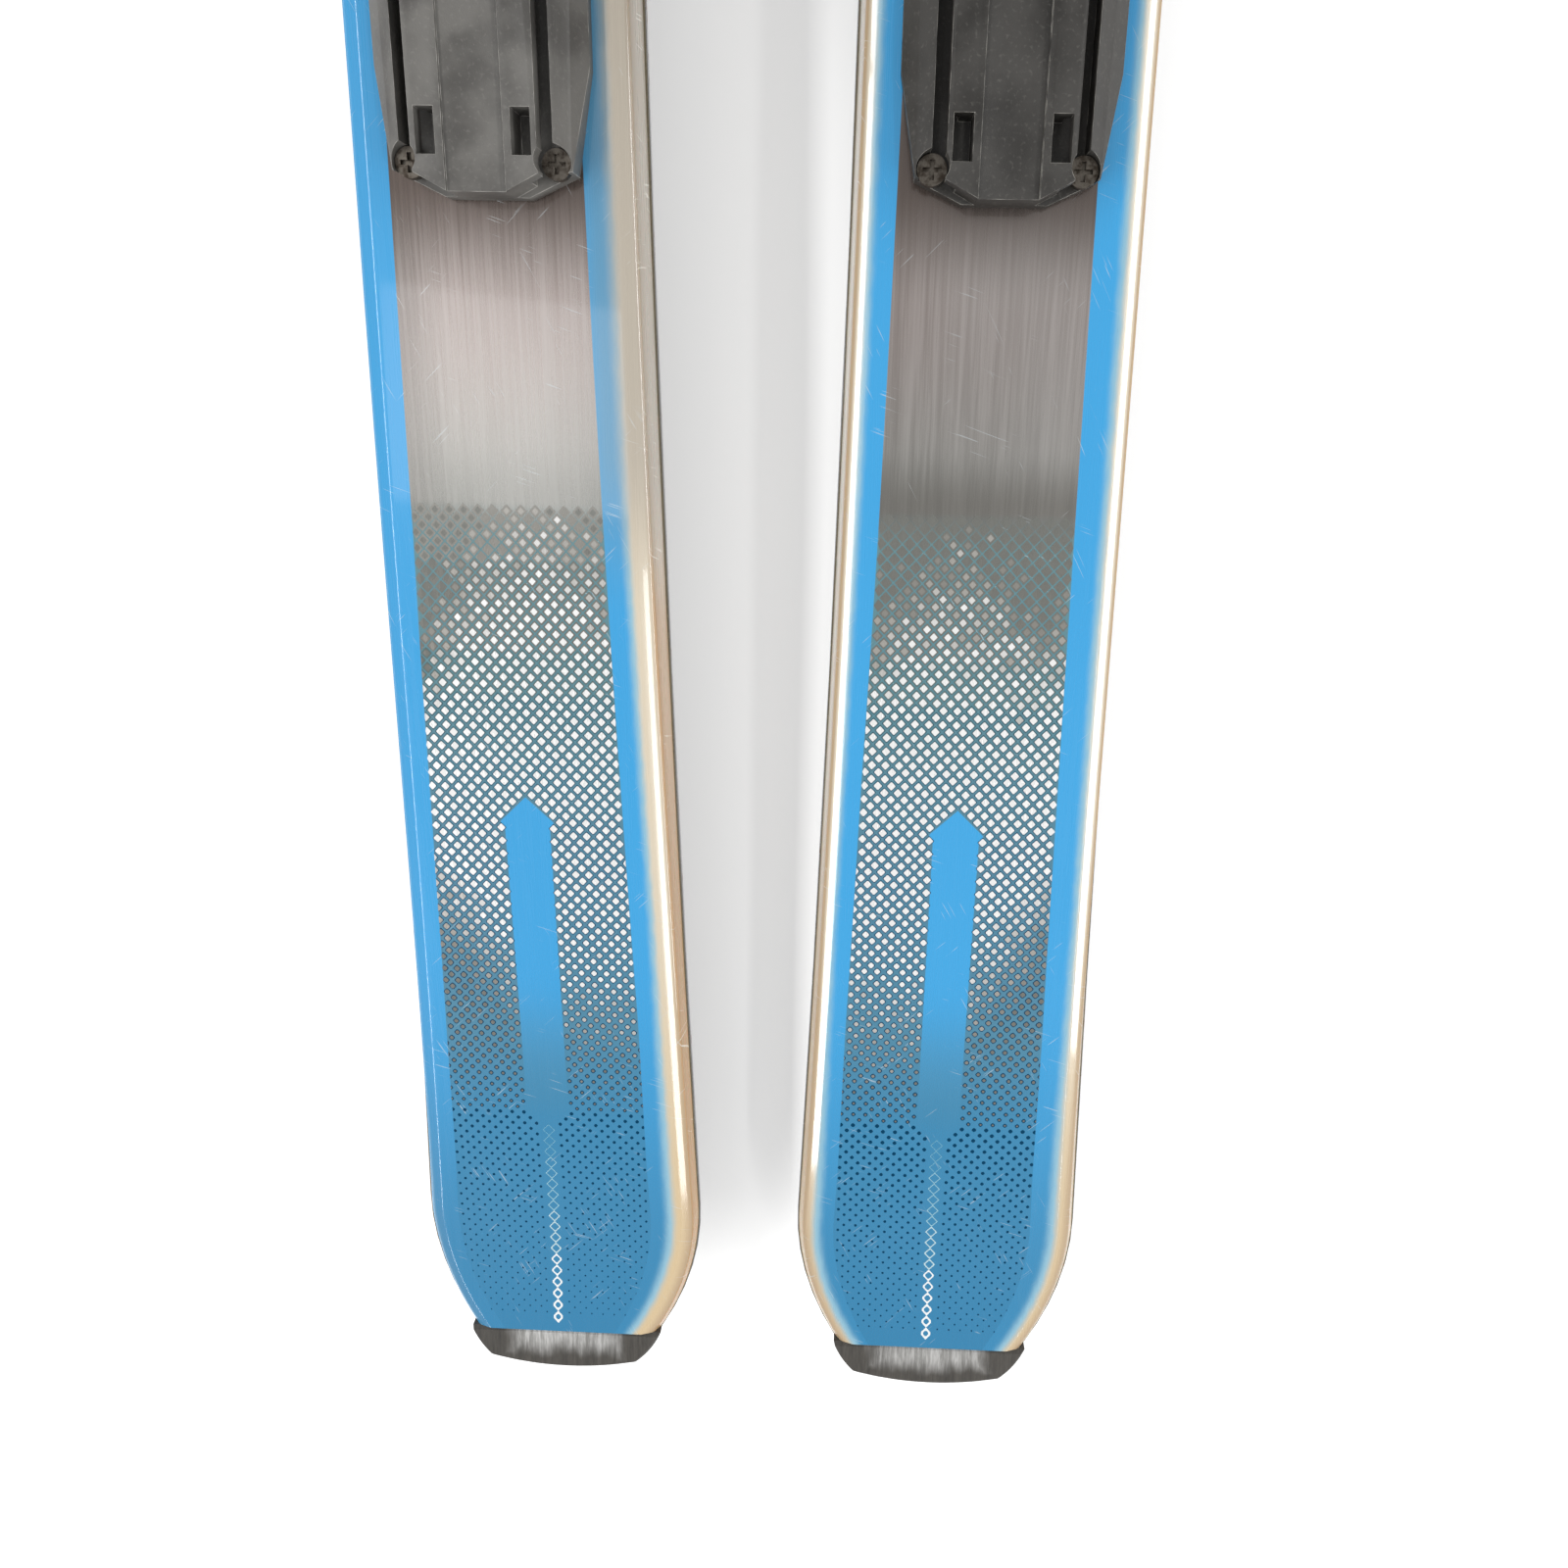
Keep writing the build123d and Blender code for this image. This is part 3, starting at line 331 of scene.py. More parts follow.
def inner_side(sideways, strength):
    """A mask over the inner edge of the left ski."""
    return product(between(sideways, left_middle + 0.02, left_middle + 0.03),
                   between(sideways, -0.01, 0.0, strength, 0.0))


sheet_print = material("printed_top_sheet")
edge, back, lateral = (field(key) for key in ("from_edge", "from_tail", "across"))
from_end = sums("MINIMUM", back, sums("SUBTRACT", front_lattice + lattice_front, back))
sideways = own_axes()["X"]
near_tail = between(back, 30.0, 200.0, 1.0, 0.0)

# How far in the ragged edge of the blue lies: at the very rim on the left ski's outer
# side, nearer the rim on each ski's left, and farther in on the left ski's inner side
rim_blue, left_blue, inner_blue = 6.5, 1.5, -1.8
fade_start, fade_end, tail_fade = 4.7, 10.6, 2.8
nick = product(sums("SUBTRACT", noise(500.0, (1, 0.3, 1)), 0.5), 1.2)
left_ski = between(sideways, -0.01, 0.0, 1.0, 0.0)
inner_half = between(sideways, left_middle, left_middle + 0.008, 0.0, inner_blue)
reach = edge
for more in (nick, outer_side(sideways, rim_blue),
             between(lateral, -3.0, 3.0, left_blue, 0.0), product(left_ski, inner_half)):
    reach = sums("ADD", reach, more)
fade = between(reach, fade_start, scaled(near_tail, tail_fade, fade_end))
tone = noise(9.0, (1, 0.4, 1), detail=2.0)
blue = blend(tone, (34, 152, 212), (50, 164, 224))
tail_blue = blend(tone, (20, 120, 166), (34, 134, 182))
blue = blend(between(from_end, 20.0, 170.0), tail_blue, blue)
rim_tan = between(edge, 2.7, scaled(near_tail, 3.0, 3.5))
bare = blend(rim_tan, (188, 162, 128), blend(near_tail, (216, 203, 180), (212, 188, 148)))
faded = blend(between(fade, 0.0, 0.5), bare, (140, 186, 206))
coloured = blend(between(fade, 0.4, 1.0), faded, blue)
# Painted reflection: on the left ski's inner side ahead of the lattice the print is painted over
# with a pale grey haze, the glare of bright surroundings on the gloss
painted_haze = product(inner_side(sideways, 0.75), between(from_end, 280.0, 335.0))
coloured = blend(painted_haze, coloured, blend(fade, (172, 164, 152), (94, 142, 168)))

# Brushed foil, with painted light in it: a painted dark reflection just ahead of the
# lattice, painted shade down the left ski's outer third, and a painted dark reflection of
# the heel track just behind it
streaks = noise(640.0, (1, 0.012, 1), detail=4.0, rough=0.75)
cloud = noise(14.0, (1, 0.35, 1), detail=3.0, offset=(2.0, 0.3, 0))
ahead = between(from_end, 300.0, 380.0)
brushed = blend(between(streaks, 0.3, 0.7),
                blend(ahead, (142, 145, 140), (160, 148, 143)),
                blend(ahead, (164, 166, 161), (182, 172, 168)))
# Painted dark reflection in the foil just ahead of the lattice, fuller on the right ski
painted_reflection_ahead = product(between(from_end, lattice_front + 2.0, lattice_front + 20.0, 0.75, 0.0),
                 between(sideways, -0.01, 0.01, 0.25, 1.0))
# Painted shade down the outer third of the left ski's foil
painted_outer_shade = between(sideways, left_middle - 0.032, left_middle - 0.012, 0.5, 0.0)
# Painted dark reflection of the heel track in the glossy foil just behind it
painted_track_reflection = product(between(back, 374.0, 406.0), between(back, 418.0, 440.0, 0.85, 0.0))
# Tones laid over the foil: a random paler cloud, then the painted reflections and shade above
for share, stain_and_shade in ((between(cloud, 0.45, 0.75, 0.0, 0.4), (196, 193, 190)),
                     (painted_reflection_ahead, (122, 118, 112)), (painted_outer_shade, (118, 114, 110)),
                     (painted_track_reflection, (84, 70, 62))):
    brushed = blend(share, brushed, stain_and_shade)

# The print's ground between the lozenges, and the blank tag on it
ground = shade("ValToRGB", Fac=sums("DIVIDE", from_end, 320.0))
ramp = ground.color_ramp
for stop, colour in ((0.0, (20, 122, 168)), (0.3, (30, 126, 170)), (0.42, (62, 127, 156)),
                     (0.6, (64, 122, 148)), (0.82, (80, 128, 140))):
    ramp.elements.new(stop).color = paint(*colour)
ramp.elements.remove(ramp.elements[0])
ramp.elements[-1].color = paint(92, 132, 138)
off_centre = sums("ABSOLUTE", lateral)
head = product(sums("GREATER_THAN", back, barb_start),
               sums("LESS_THAN", sums("ADD", back, off_centre), tag_tip),
               sums("LESS_THAN", off_centre, barb_half))
shaft = product(sums("LESS_THAN", off_centre, tag_half),
                sums("LESS_THAN", back, barb_start + 0.5))
in_tag = product(sums("MAXIMUM", head, shaft), between(back, tag_end, tag_end + tag_fade))
foil_part = between(from_end, lattice_front - 11.0, lattice_front + 1.0)
panel = blend(foil_part, blend(in_tag, ground.outputs[0], blue), brushed)
inside = between(field("in_panel"), -0.12, 0.12)
worn = mask(scratches, Density=0.45)
gloss = between(streaks, 0.2, 0.8, 0.20, 0.34)
dress(Base_Color=blend(worn, blend(inside, coloured, panel), (206, 214, 218)),
      Metallic=product(inside, foil_part, 0.85),
      Roughness=scaled(worn, 0.25, gloss), Coat_Weight=1.0, Coat_Roughness=0.06)
relief(scaled(worn, -0.6, product(streaks, foil_part)), 0.12, 0.1)

sheet_depth = 0.95
edge_insets = np.array([2.6, 3.1, 3.9, 5.0, 6.14, 6.35, 6.55, 6.75, 7.0, 7.8])
rings = [inset_outline(i) for i in edge_insets]
middle_shares = np.linspace(1, -1, 15)[1:-1]


def sheet_rows(side, sunk):
    """Points of the sheet's face on its ski: across each row from edge to edge."""
    columns = [(x, y, np.full_like(x, i)) for i, (x, y) in zip(edge_insets, rings)]
    inner_x, inner_y = rings[-1]
    columns += [(inner_x * s, inner_y, edge_insets[-1] + inner_x * (1 - abs(s)))
                for s in middle_shares]
    columns += [(-x, y, i) for x, y, i in columns[len(edge_insets) - 1::-1]]
    x, y, inset = (np.stack(c, 1) for c in zip(*columns))
    z = top_height(y) - shoulder(inset) - sunk
    return np.stack([x + centre_x[side], y, z], -1), x, y - sheet_end, inset


for side in SIDES:
    face, across, from_tail, from_edge = sheet_rows(side, 0.0)
    under = sheet_rows(side, sheet_depth)[0]
    rows, columns = across.shape
    count = rows * columns
    rim = np.arange(0, count, columns)
    strips = [np.stack([r[:-1], r[1:], r[1:] + count, r[:-1] + count], -1)
              for r in (rim, (rim + columns - 1)[::-1], np.arange(columns)[::-1])]
    quads = grid_quads(rows, columns)
    faces = np.concatenate([quads, quads[:, ::-1] + count, *strips])
    points = np.concatenate([face.reshape(-1, 3), under.reshape(-1, 3)])
    on_print = across - at_print(from_tail, misprint[side])
    panel_half = half_width(from_tail + sheet_end) - at_print(from_tail, panel_insets)
    in_panel = np.minimum(panel_half - np.abs(on_print), from_edge - panel_margin)
    values = {"across": on_print, "from_tail": from_tail, "from_edge": from_edge,
              "in_panel": in_panel}
    fields = {key: np.tile(value.ravel(), 2) for key, value in values.items()}
    sheet = mesh_piece(f"{side}_printed_sheet", points, faces, fields, merge=0.002, sharp=0.7)
    fit(sheet, f"{side}_ski", "top_sheet", sheet_print, f"{side}_top_sheet")


# ------------------------ sidewalls
# Amber translucent plastic walls round the wood core, leaning in and rounded over at
# the top so that snow slides off. They are pressed in with the core, then ground. They
# have yellowed at the tail, and the sheet's blue laps over the left ski's outer wall.
yellowed = [(sheet_end + d) * MM for d in (150, 260)]
brown_to_grey = [(sheet_end + d) * MM for d in (270, 330)]
amber = material("amber_sidewall")
edge = field("from_edge")
grain = noise(900.0, (1, 0.05, 1), detail=2.0)
place = own_axes()
sideways, forward = place["X"], place["Y"]
# The wall's foot is pale and its top tan: the pale foot is partly the plastic's own tone and
# partly a painted reflection of bright surroundings off the steep wall, lightened against its
# shade
pale = blend(between(forward, *yellowed, 1.0, 0.0), (240, 233, 221), (210, 188, 158))
wall_tone = blend(between(edge, 1.3, 2.3), pale, (190, 164, 130))
wall_tone = blend(product(grain, 0.3), wall_tone, (184, 158, 126))
inner_wall = inner_side(sideways, 0.7)
browned = product(inner_wall, between(forward, *brown_to_grey, 1.0, 0.0))
greyed = product(inner_wall, between(forward, *brown_to_grey))
lapped = product(between(edge, 0.9, 1.4), outer_side(sideways, 1.0))
worn = mask(scratches, Density=0.7)
for share, stain_and_shade in ((browned, (188, 146, 100)), (greyed, (166, 156, 142)),
                     (lapped, (44, 156, 214)), (worn, (240, 236, 226))):
    wall_tone = blend(share, wall_tone, stain_and_shade)
dress(Base_Color=wall_tone, Roughness=between(grain, 0.2, 0.8, 0.22, 0.38),
      Coat_Weight=0.35, Coat_Roughness=0.15, Subsurface_Weight=0.12, Subsurface_Scale=0.004)
relief(grain, 0.3, 0.2)

wall_insets = np.array([0.6, 1.15, 1.7, 2.05, 2.2, 2.25, 2.35, 2.62, 5.8, 5.8])
wall_shares = np.array([0, 0.35, 0.7, 0.9, 1, 1, 1, 1, 1, 0])
base_stack, under_sheet, sheet_rim = 2.6, 1.3, 5.0


def wall_line(inset, share):
    """One line of the wall along the ski: share is its place from the base up. The wall
    shows outside the sheet's rim, and ends under the sheet farther in."""
    x, y = inset_outline(inset)
    low = base_height(y) + base_stack
    drop = max(shoulder(inset), 0.02) if inset < sheet_rim else under_sheet
    return x, y, low + (top_height(y) - drop - low) * share, np.full_like(x, inset)


for side in SIDES:
    lines = [wall_line(inset, share) for inset, share in zip(wall_insets, wall_shares)]
    x, y, z, inset = (np.stack(c, 1) for c in zip(*lines))
    both = np.concatenate([np.stack([x, y, z], -1), np.stack([-x, y, z], -1)[::-1][1:]])
    inset = np.concatenate([inset, inset[::-1][1:]])
    rows, columns = inset.shape
    closed = np.concatenate([both, both[:, :1]], 1)
    last_row = (rows - 1) * (columns + 1)
    caps = [list(range(columns)), [last_row + c for c in range(columns)][::-1]]
    points = closed.reshape(-1, 3) + (centre_x[side], 0, 0)
    fields = {"from_edge": np.concatenate([inset, inset[:, :1]], 1)}
    wall = mesh_piece(f"{side}_sidewall_band", points,
                      grid_quads(rows, columns + 1).tolist() + caps, fields,
                      merge=0.001, sharp=0.9)
    fit(wall, f"{side}_ski", "sidewall", amber, f"{side}_sidewalls", f"{side}_tip_spacer")


# ------------------------ foil lattice
# The mirror foil shows through the blue print as rows of lozenge windows, each with a dark
# outline, from hairline gaps at the front of the pattern to dots at the tail. The windows'
# foil is painted in grades from dark grey to white: a painted reflection of a bright bank.
cell_across, cell_along = 4.35, 4.72
panel_gap, barb_gap, shaft_gap, chain_gap = 0.15, 0.6, 0.8, 3.0
plate_low, plate_high, window_low, window_high = -0.03, 0.04, 0.02, 0.07
# Foil tones from dark grey to white, for the painted reflection in the windows
foil_reflection_grades = [(116, 117, 112), (138, 136, 130), (166, 163, 157), (194, 192, 188),
               (222, 221, 219), (243, 243, 242)]
ink_grades = [(0, 60, 92), (34, 80, 100), (62, 92, 102), (92, 108, 108)]


def under_print(name, colour, metallic, rough, coat_weight=0.5):
    """Ink or foil under clear print: an even tone with a slightly uneven gloss."""
    made = material(name)
    ripple = noise(600.0, (1, 0.3, 1), detail=2.0)
    dress(Base_Color=paint(*colour), Metallic=metallic, Specular_IOR_Level=coat_weight,
          Roughness=between(ripple, 0.3, 0.7, rough - 0.06, rough + 0.08),
          Coat_Weight=coat_weight, Coat_Roughness=0.08)
    relief(ripple, 0.1, 0.05)
    return made


inks = [under_print(f"lozenge_outline_{k}", grade, 0.0, 0.4, 0.05)
        for k, grade in enumerate(ink_grades)]
foils = [under_print(f"foil_window_{k}", grade, 0.3, 0.26) for k, grade in enumerate(foil_reflection_grades)]


def graded(piece, finishes, grades):
    """Give a piece more finishes, and choose one of all for each face."""
    for finish in finishes:
        piece.data.materials.append(finish)
    piece.data.polygons.foreach_set("material_index", grades.astype(np.int32))


def lozenges(side, x, t, size, cut, low, high):
    """Closed eight-sided plates lying on the top sheet: lozenges with cut corners.

    cut is the share of each half diagonal that the corner loses, so 0 is a sharp lozenge
    and 0.29 an even octagon. Each plate is scaled to its cell, and is cut off where it
    would reach out of the foil panel."""
    a, b = (1 - cut)[:, None], cut[:, None]
    px = np.concatenate([a, b, -b, -a, -a, -b, b, a], 1)
    py = np.concatenate([b, a, a, b, -b, -a, -a, -b], 1)
    px = x[:, None] + px * size[:, None] * cell_across / 2
    py = t[:, None] + py * size[:, None] * cell_along / 2 + sheet_end
    border = half_width(py) - at_print(t, panel_insets)[:, None] - panel_gap * size[:, None]
    px = np.clip(px, -border, border) + at_print(t, misprint[side])[:, None]
    layers = [np.stack([px + centre_x[side], py, top_height(py) + h], -1) for h in (low, high)]
    points = np.stack(layers, 1).reshape(-1, 3)
    first = np.arange(len(x))[:, None, None] * 16
    ring = np.arange(8)
    wall = np.stack([ring, (ring + 1) % 8, (ring + 1) % 8 + 8, ring + 8], -1)[None] + first
    top, bottom = ((r[None, None] + first).reshape(-1, 8) for r in (ring + 8, ring[::-1]))
    return points, wall.reshape(-1, 4).tolist() + top.tolist() + bottom.tolist()


def lattice_places(first, last, has_tag):
    """Centres of the cells inside the foil panel, clear of the tag and the chain."""
    rows = np.arange(round((last - first) / (cell_along / 2)) + 1)
    t, k = np.meshgrid(first + rows * cell_along / 2, np.arange(-12, 13), indexing="ij")
    x = (k + (rows[:, None] % 2) / 2) * cell_across
    inner = half_width(t + sheet_end) - at_print(t, panel_insets)
    keep = np.abs(x) < inner + cell_across * 0.1
    barb = np.minimum(tag_tip - t, barb_half) + barb_gap
    tag = np.where(t > barb_start, barb, tag_half + shaft_gap)
    if has_tag:
        keep &= np.abs(x) > np.where(t > tag_end, tag, chain_gap)
    return x[keep], t[keep]


lattice_rear, tip_lattice_end, lattice_margin = 8.0, 1490.0, 1.5
# Measures of the lattice at places along the ski: the ink's grades, the plates' sizes and
# cut corners, and the foil windows in them; the left ski's plates are smaller at its tail
ink_steps = [214, 236, 256, 272, 300]
plate_steps = [6, 30, 60, 95, 117, 130, 153, 190, 258, 300, 317]
plate_sizes = [0.19, 0.26, 0.34, 0.44, 0.52, 0.58, 0.68, 0.77, 0.83, 0.86, 0.88]
cut_steps, cut_shares = [60, 130, 190, 300], [0.28, 0.20, 0.09, 0.05]
left_steps, left_shares = [90, 120], [0.86, 1.0]
window_start, window_cut = 100, 0.03
core_steps = [100, 117, 130, 190, 235, 262, 290, 317]
core_sizes = [0.50, 0.64, 0.72, 0.83, 0.81, 0.72, 0.62, 0.55]
# The painted reflection in the windows: where its bright bank bows and fades, and how much it
# scatters
reflection_bow = {"left": (8.0, 329.0, 60.0), "right": (-4.0, 313.0, 18.0)}
bow_curve, bow_scatter, bow_fade = 0.035, 6, 44
tail_fade_start, tail_fade_length, fade_slant = 106, 62, 1.5
reflection_gain, reflection_scatter = 1.06, 0.05
rng = np.random.default_rng(7)


def painted_foil_reflection(side, x, t):
    """How bright each window's foil is painted, 0 to 1: a painted reflection of a bright bank,
    which ends in a bow across the ski at the front and fades out evenly towards the tail,
    sooner at the outer side."""
    middle, reach, bow = reflection_bow[side]
    front = reach - np.minimum(bow_curve * (x - middle) ** 2, bow)
    front = front + rng.normal(0, bow_scatter, len(x))
    outward = np.maximum(-x if side == "left" else x, 0)
    from_rear = (t - tail_fade_start - fade_slant * outward) / tail_fade_length
    bank = np.clip((front - t) / bow_fade, 0, 1) * np.clip(from_rear, 0, 1)
    scatter = rng.normal(0, reflection_scatter, len(x)) * (bank > reflection_scatter)
    return np.clip(bank * reflection_gain + scatter, 0, 1)


for side in SIDES:
    x, t = lattice_places(lattice_rear, lattice_front - lattice_margin, True)
    tip_x, tip_t = lattice_places(front_lattice + lattice_margin, tip_lattice_end, False)
    mirror_t = np.concatenate([t, lattice_front - (tip_t - front_lattice)])
    x, t = np.concatenate([x, tip_x]), np.concatenate([t, tip_t])
    size = np.interp(mirror_t, plate_steps, plate_sizes)
    cut = np.interp(mirror_t, cut_steps, cut_shares)
    if side == "left":
        size *= np.interp(mirror_t, left_steps, left_shares)
    points, faces = lozenges(side, x, t, size, cut, plate_low, plate_high)
    outlines = mesh_piece(f"{side}_lozenge_outlines", points, faces, smooth=False)
    fit(outlines, f"{side}_ski", "top_sheet", inks[0])
    # Ahead of the ink's grades the outline plates take plain foil tones, lighter on the left ski
    # as part of its painted reflection
    fill = np.digitize(mirror_t, ink_steps)
    graded(outlines, (*inks[1:], foils[0], foils[1 if side == "left" else 0]),
           np.concatenate([fill.repeat(8), fill, fill]))
    lit = mirror_t > window_start
    # Each window's foil tone is its painted reflection
    grade = (painted_foil_reflection(side, x, mirror_t) * len(foils)).astype(np.int32)[lit]
    grade = np.minimum(grade, len(foils) - 1)
    core = (size * np.interp(mirror_t, core_steps, core_sizes))[lit]
    points, faces = lozenges(side, x[lit], t[lit], core, cut[lit] + window_cut, window_low,
                             window_high)
    windows = mesh_piece(f"{side}_foil_windows", points, faces, smooth=False)
    fit(windows, f"{side}_ski", "top_sheet", foils[0])
    graded(windows, foils[1:], np.concatenate([grade.repeat(8), grade, grade]))


# ------------------------ lozenge chain
# A chain of printed lozenges on the centre-line, from the tail's end to the blank tag.
# Its white ink thins out forwards: the line narrows to a hair and turns pale blue.
chain_tints = [(236, 239, 239), (184, 211, 217), (140, 188, 204), (106, 168, 192)]
chain_paints = [under_print(f"chain_{k}", tint, 0.0, 0.28) for k, tint in enumerate(chain_tints)]
chain_steps = [36, 56, 76]
chain_start, chain_pitches = 3.5, np.linspace(5.12, 4.78, 18)
chain_outer, chain_low, chain_high = 1.03, -0.02, 0.05
link_cut, link_reach = 0.04, 1.64
# Width of the line and of the links' cut sides, at places along the chain
chain_lines = [0, 45, 95], [0.72, 0.36, 0.15]
chain_cuts = [0, 45, 70], [0.24, 0.08, 0.0]


def cut_lozenge(side_cut, end_cut):
    """Eight corners of a lozenge whose side and end corners are cut off, one row a cell."""
    a, b = side_cut[:, None], end_cut[:, None]
    px = np.concatenate([1 - a, b, -b, a - 1, a - 1, -b, b, 1 - a], 1)
    py = np.concatenate([a, 1 - b, 1 - b, a, -a, b - 1, b - 1, -a], 1)
    return np.stack([px, py], -1)


for side in SIDES:
    centres = chain_start + np.cumsum(chain_pitches) - chain_pitches / 2
    line, cut = np.interp(centres, *chain_lines), np.interp(centres, *chain_cuts)
    outer = cut_lozenge(cut, 0 * cut + link_cut) * chain_outer
    hole = (1 - line / link_reach)[:, None, None]
    inner = cut_lozenge(cut + link_cut, cut + link_cut) * hole
    cell = np.stack([0 * centres + cell_across, chain_pitches], -1)[:, None]
    flat = np.concatenate([outer, inner], 1) * cell / 2
    px, py = flat[..., 0], flat[..., 1] + centres[:, None] + sheet_end
    px = px + centre_x[side] + at_print(centres, misprint[side])[:, None]
    layers = [np.stack([px, py, top_height(py) + h], -1) for h in (chain_low, chain_high)]
    points = np.stack(layers, 1).reshape(-1, 3)
    k = np.arange(8)
    n = (k + 1) % 8
    ring = np.concatenate([
        np.stack([k + 16, n + 16, n + 24, k + 24], -1), np.stack([k + 8, n + 8, n, k], -1),
        np.stack([k, n, n + 16, k + 16], -1), np.stack([k + 24, n + 24, n + 8, k + 8], -1),
    ])
    faces = (ring[None] + np.arange(len(centres))[:, None, None] * 32).reshape(-1, 4)
    chain = mesh_piece(f"{side}_lozenge_chain", points, faces.tolist(), smooth=False)
    fit(chain, f"{side}_ski", "top_sheet", chain_paints[0])
    graded(chain, chain_paints[1:], np.digitize(centres, chain_steps).repeat(len(ring)))


# ------------------------ running base
# The sintered black polyethylene sole in its die-cut panels, bonded under the laminate
# and stone-ground lengthwise, so that it carries fine straight structure and wax.
def coat(finish, *kinds):
    """Give both skis' CAD pieces of these kinds a finish."""
    for node in (f"{side}_{kind}" for kind in kinds for side in SIDES):
        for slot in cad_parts[node].material_slots:
            slot.material = finish


sintered = material("sintered_base")
grind = noise(1500.0, (1, 0.012, 1), detail=3.0, rough=0.7)
marbled = noise(60.0, (1, 0.6, 1), detail=4.0)
black = blend(between(marbled, 0.35, 0.7), (24, 24, 26), (44, 44, 46))
dress(Base_Color=blend(mask(scratches, Density=0.8), black, (96, 96, 98)),
      Roughness=between(grind, 0.25, 0.75, 0.28, 0.46))
relief(grind, 0.4, 0.1)
coat(sintered, "running_base")


# ------------------------ steel edges
# Hardened steel strips with a square outer corner, set in flush with the base round the
# ski, tuned with a file along their length and touched with rust where they stay wet.
tuned_steel = material("tuned_edge_steel")
filed = noise(1800.0, (1, 0.05, 1), detail=2.0)
rust = between(noise(260.0, (1, 0.35, 1), detail=5.0, rough=0.65), 0.60, 0.70)
bright = blend(filed, (150, 150, 150), (196, 196, 197))
dress(Base_Color=blend(rust, bright, (124, 84, 56)), Metallic=scaled(rust, -0.8, 0.95),
      Roughness=scaled(rust, 0.4, 0.27))
relief(sums("ADD", filed, rust), 0.3, 0.1)
coat(tuned_steel, "steel_edges")


# ------------------------ core and laminate
# Long wood stringers glued side by side and planed to the ski's thickness, over a
# sheet of glass cloth in amber resin. Both lie inside, and show only at cut ends.
glass_cloth = material("glass_laminate")
warp = noise(900.0, (1, 0.08, 1), detail=1.0)
weft = noise(900.0, (0.08, 1, 1), detail=1.0)
weave = sums("MAXIMUM", warp, weft)
dress(Base_Color=blend(weave, (72, 64, 50), (132, 122, 98)), Roughness=0.42)
relief(weave, 0.3, 0.2)
coat(glass_cloth, "lower_laminate")

stringer_width = 12.5
stringers = material("core_stringers")
strip = sums("FLOOR", sums("DIVIDE", own_axes()["X"], stringer_width * MM))
tint = shade("TexWhiteNoise", {"noise_dimensions": "1D"}, W=strip).outputs["Value"]
grain = noise(700.0, (1, 0.02, 1), detail=5.0, rough=0.6)
pale = blend(tint, (222, 194, 150), (196, 160, 112))
dress(Base_Color=blend(between(grain, 0.45, 0.75), pale, (150, 112, 72)), Roughness=0.6)
relief(grain, 0.4, 0.2)
coat(stringers, "wood_core")


# ------------------------ tail protectors
# A pressed alloy cap closes each tail: bright and brushed towards the sheet, duller round
# its rim and corners, which are also painted dark as shade where the cap rounds off.
def moulded(node, body, slot, round_off, *finishes, segments=2):
    """A copy of a CAD piece with its triangles joined into faces and its corners rounded.

    A second finish goes on the rounded corners only."""
    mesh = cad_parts[node].data.copy()
    mesh.materials.clear()
    work = bmesh.new()
    work.from_mesh(mesh)
    bmesh.ops.remove_doubles(work, verts=work.verts, dist=0.01 * MM)
    bmesh.ops.dissolve_limit(work, angle_limit=0.03, verts=work.verts, edges=work.edges)
    for joined in work.faces:
        joined.material_index, joined.smooth = 0, True
    work.to_mesh(mesh)
    work.free()
    piece = bpy.data.objects.new(f"{node}_moulded", mesh)
    scene.collection.objects.link(piece)
    for finish in finishes:
        mesh.materials.append(finish)
    bevel = piece.modifiers.new("rounding", "BEVEL")
    bevel.width, bevel.segments, bevel.limit_method = round_off * MM, segments, "ANGLE"
    bevel.angle_limit, bevel.use_clamp_overlap, bevel.harden_normals = 0.6, True, True
    bevel.material = len(finishes) - 1 or -1
    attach(piece, body)
    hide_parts(node)


cap_alloy = material("brushed_cap")
place = own_axes()
out_wide = sums("SUBTRACT", sums("ABSOLUTE", place["X"]), centre_x["right"] * MM)
brushing = noise(700.0, (1, 0.10, 0.2), detail=4.0, rough=0.7)
ragged = product(sums("SUBTRACT", noise(160.0, (1, 0.4, 1)), 0.5), 0.009)
rim = between(sums("ADD", place["Y"], ragged), tail_end * MM + 0.004, tail_end * MM + 0.0125)
ends = between(sums("ADD", sums("ABSOLUTE", out_wide), ragged), 0.014, 0.025)
# A duller finish round the rim and corners, and painted shade darkening them where the cap rounds
# off
dull_and_shaded = sums("MAXIMUM", sums("SUBTRACT", 1.0, rim), ends)
bright = blend(between(brushing, 0.3, 0.7), (140, 139, 136), (206, 205, 203))
dark = blend(brushing, (22, 20, 18), (100, 96, 90))
dress(Base_Color=blend(dull_and_shaded, bright, dark), Metallic=scaled(dull_and_shaded, -0.3, 0.5),
      Roughness=scaled(dull_and_shaded, 0.2, between(brushing, 0.2, 0.8, 0.34, 0.5)))
relief(brushing, 0.35, 0.2)
for side in SIDES:
    moulded(f"{side}_tail_protector", f"{side}_ski", "tail_protector", 0.5, cap_alloy)


# ------------------------ binding rails
# The heel track and the toe base are moulded in glass-filled nylon, dark grey, with a
# fine spark-eroded grain and pale rubbed edges; the left track is grey with dust. Both
# are screwed down through the sheet into the core.
rubbed, given, out = effect("rubbed", Low=0.45, High=0.6, Scale=300.0)
rub = shade("TexNoise", Vector=shade("TexCoord").outputs["Object"], Scale=given["Scale"],
            Detail=4.0).outputs[0]
plug(out, Mask=between(rub, given["Low"], given["High"]))


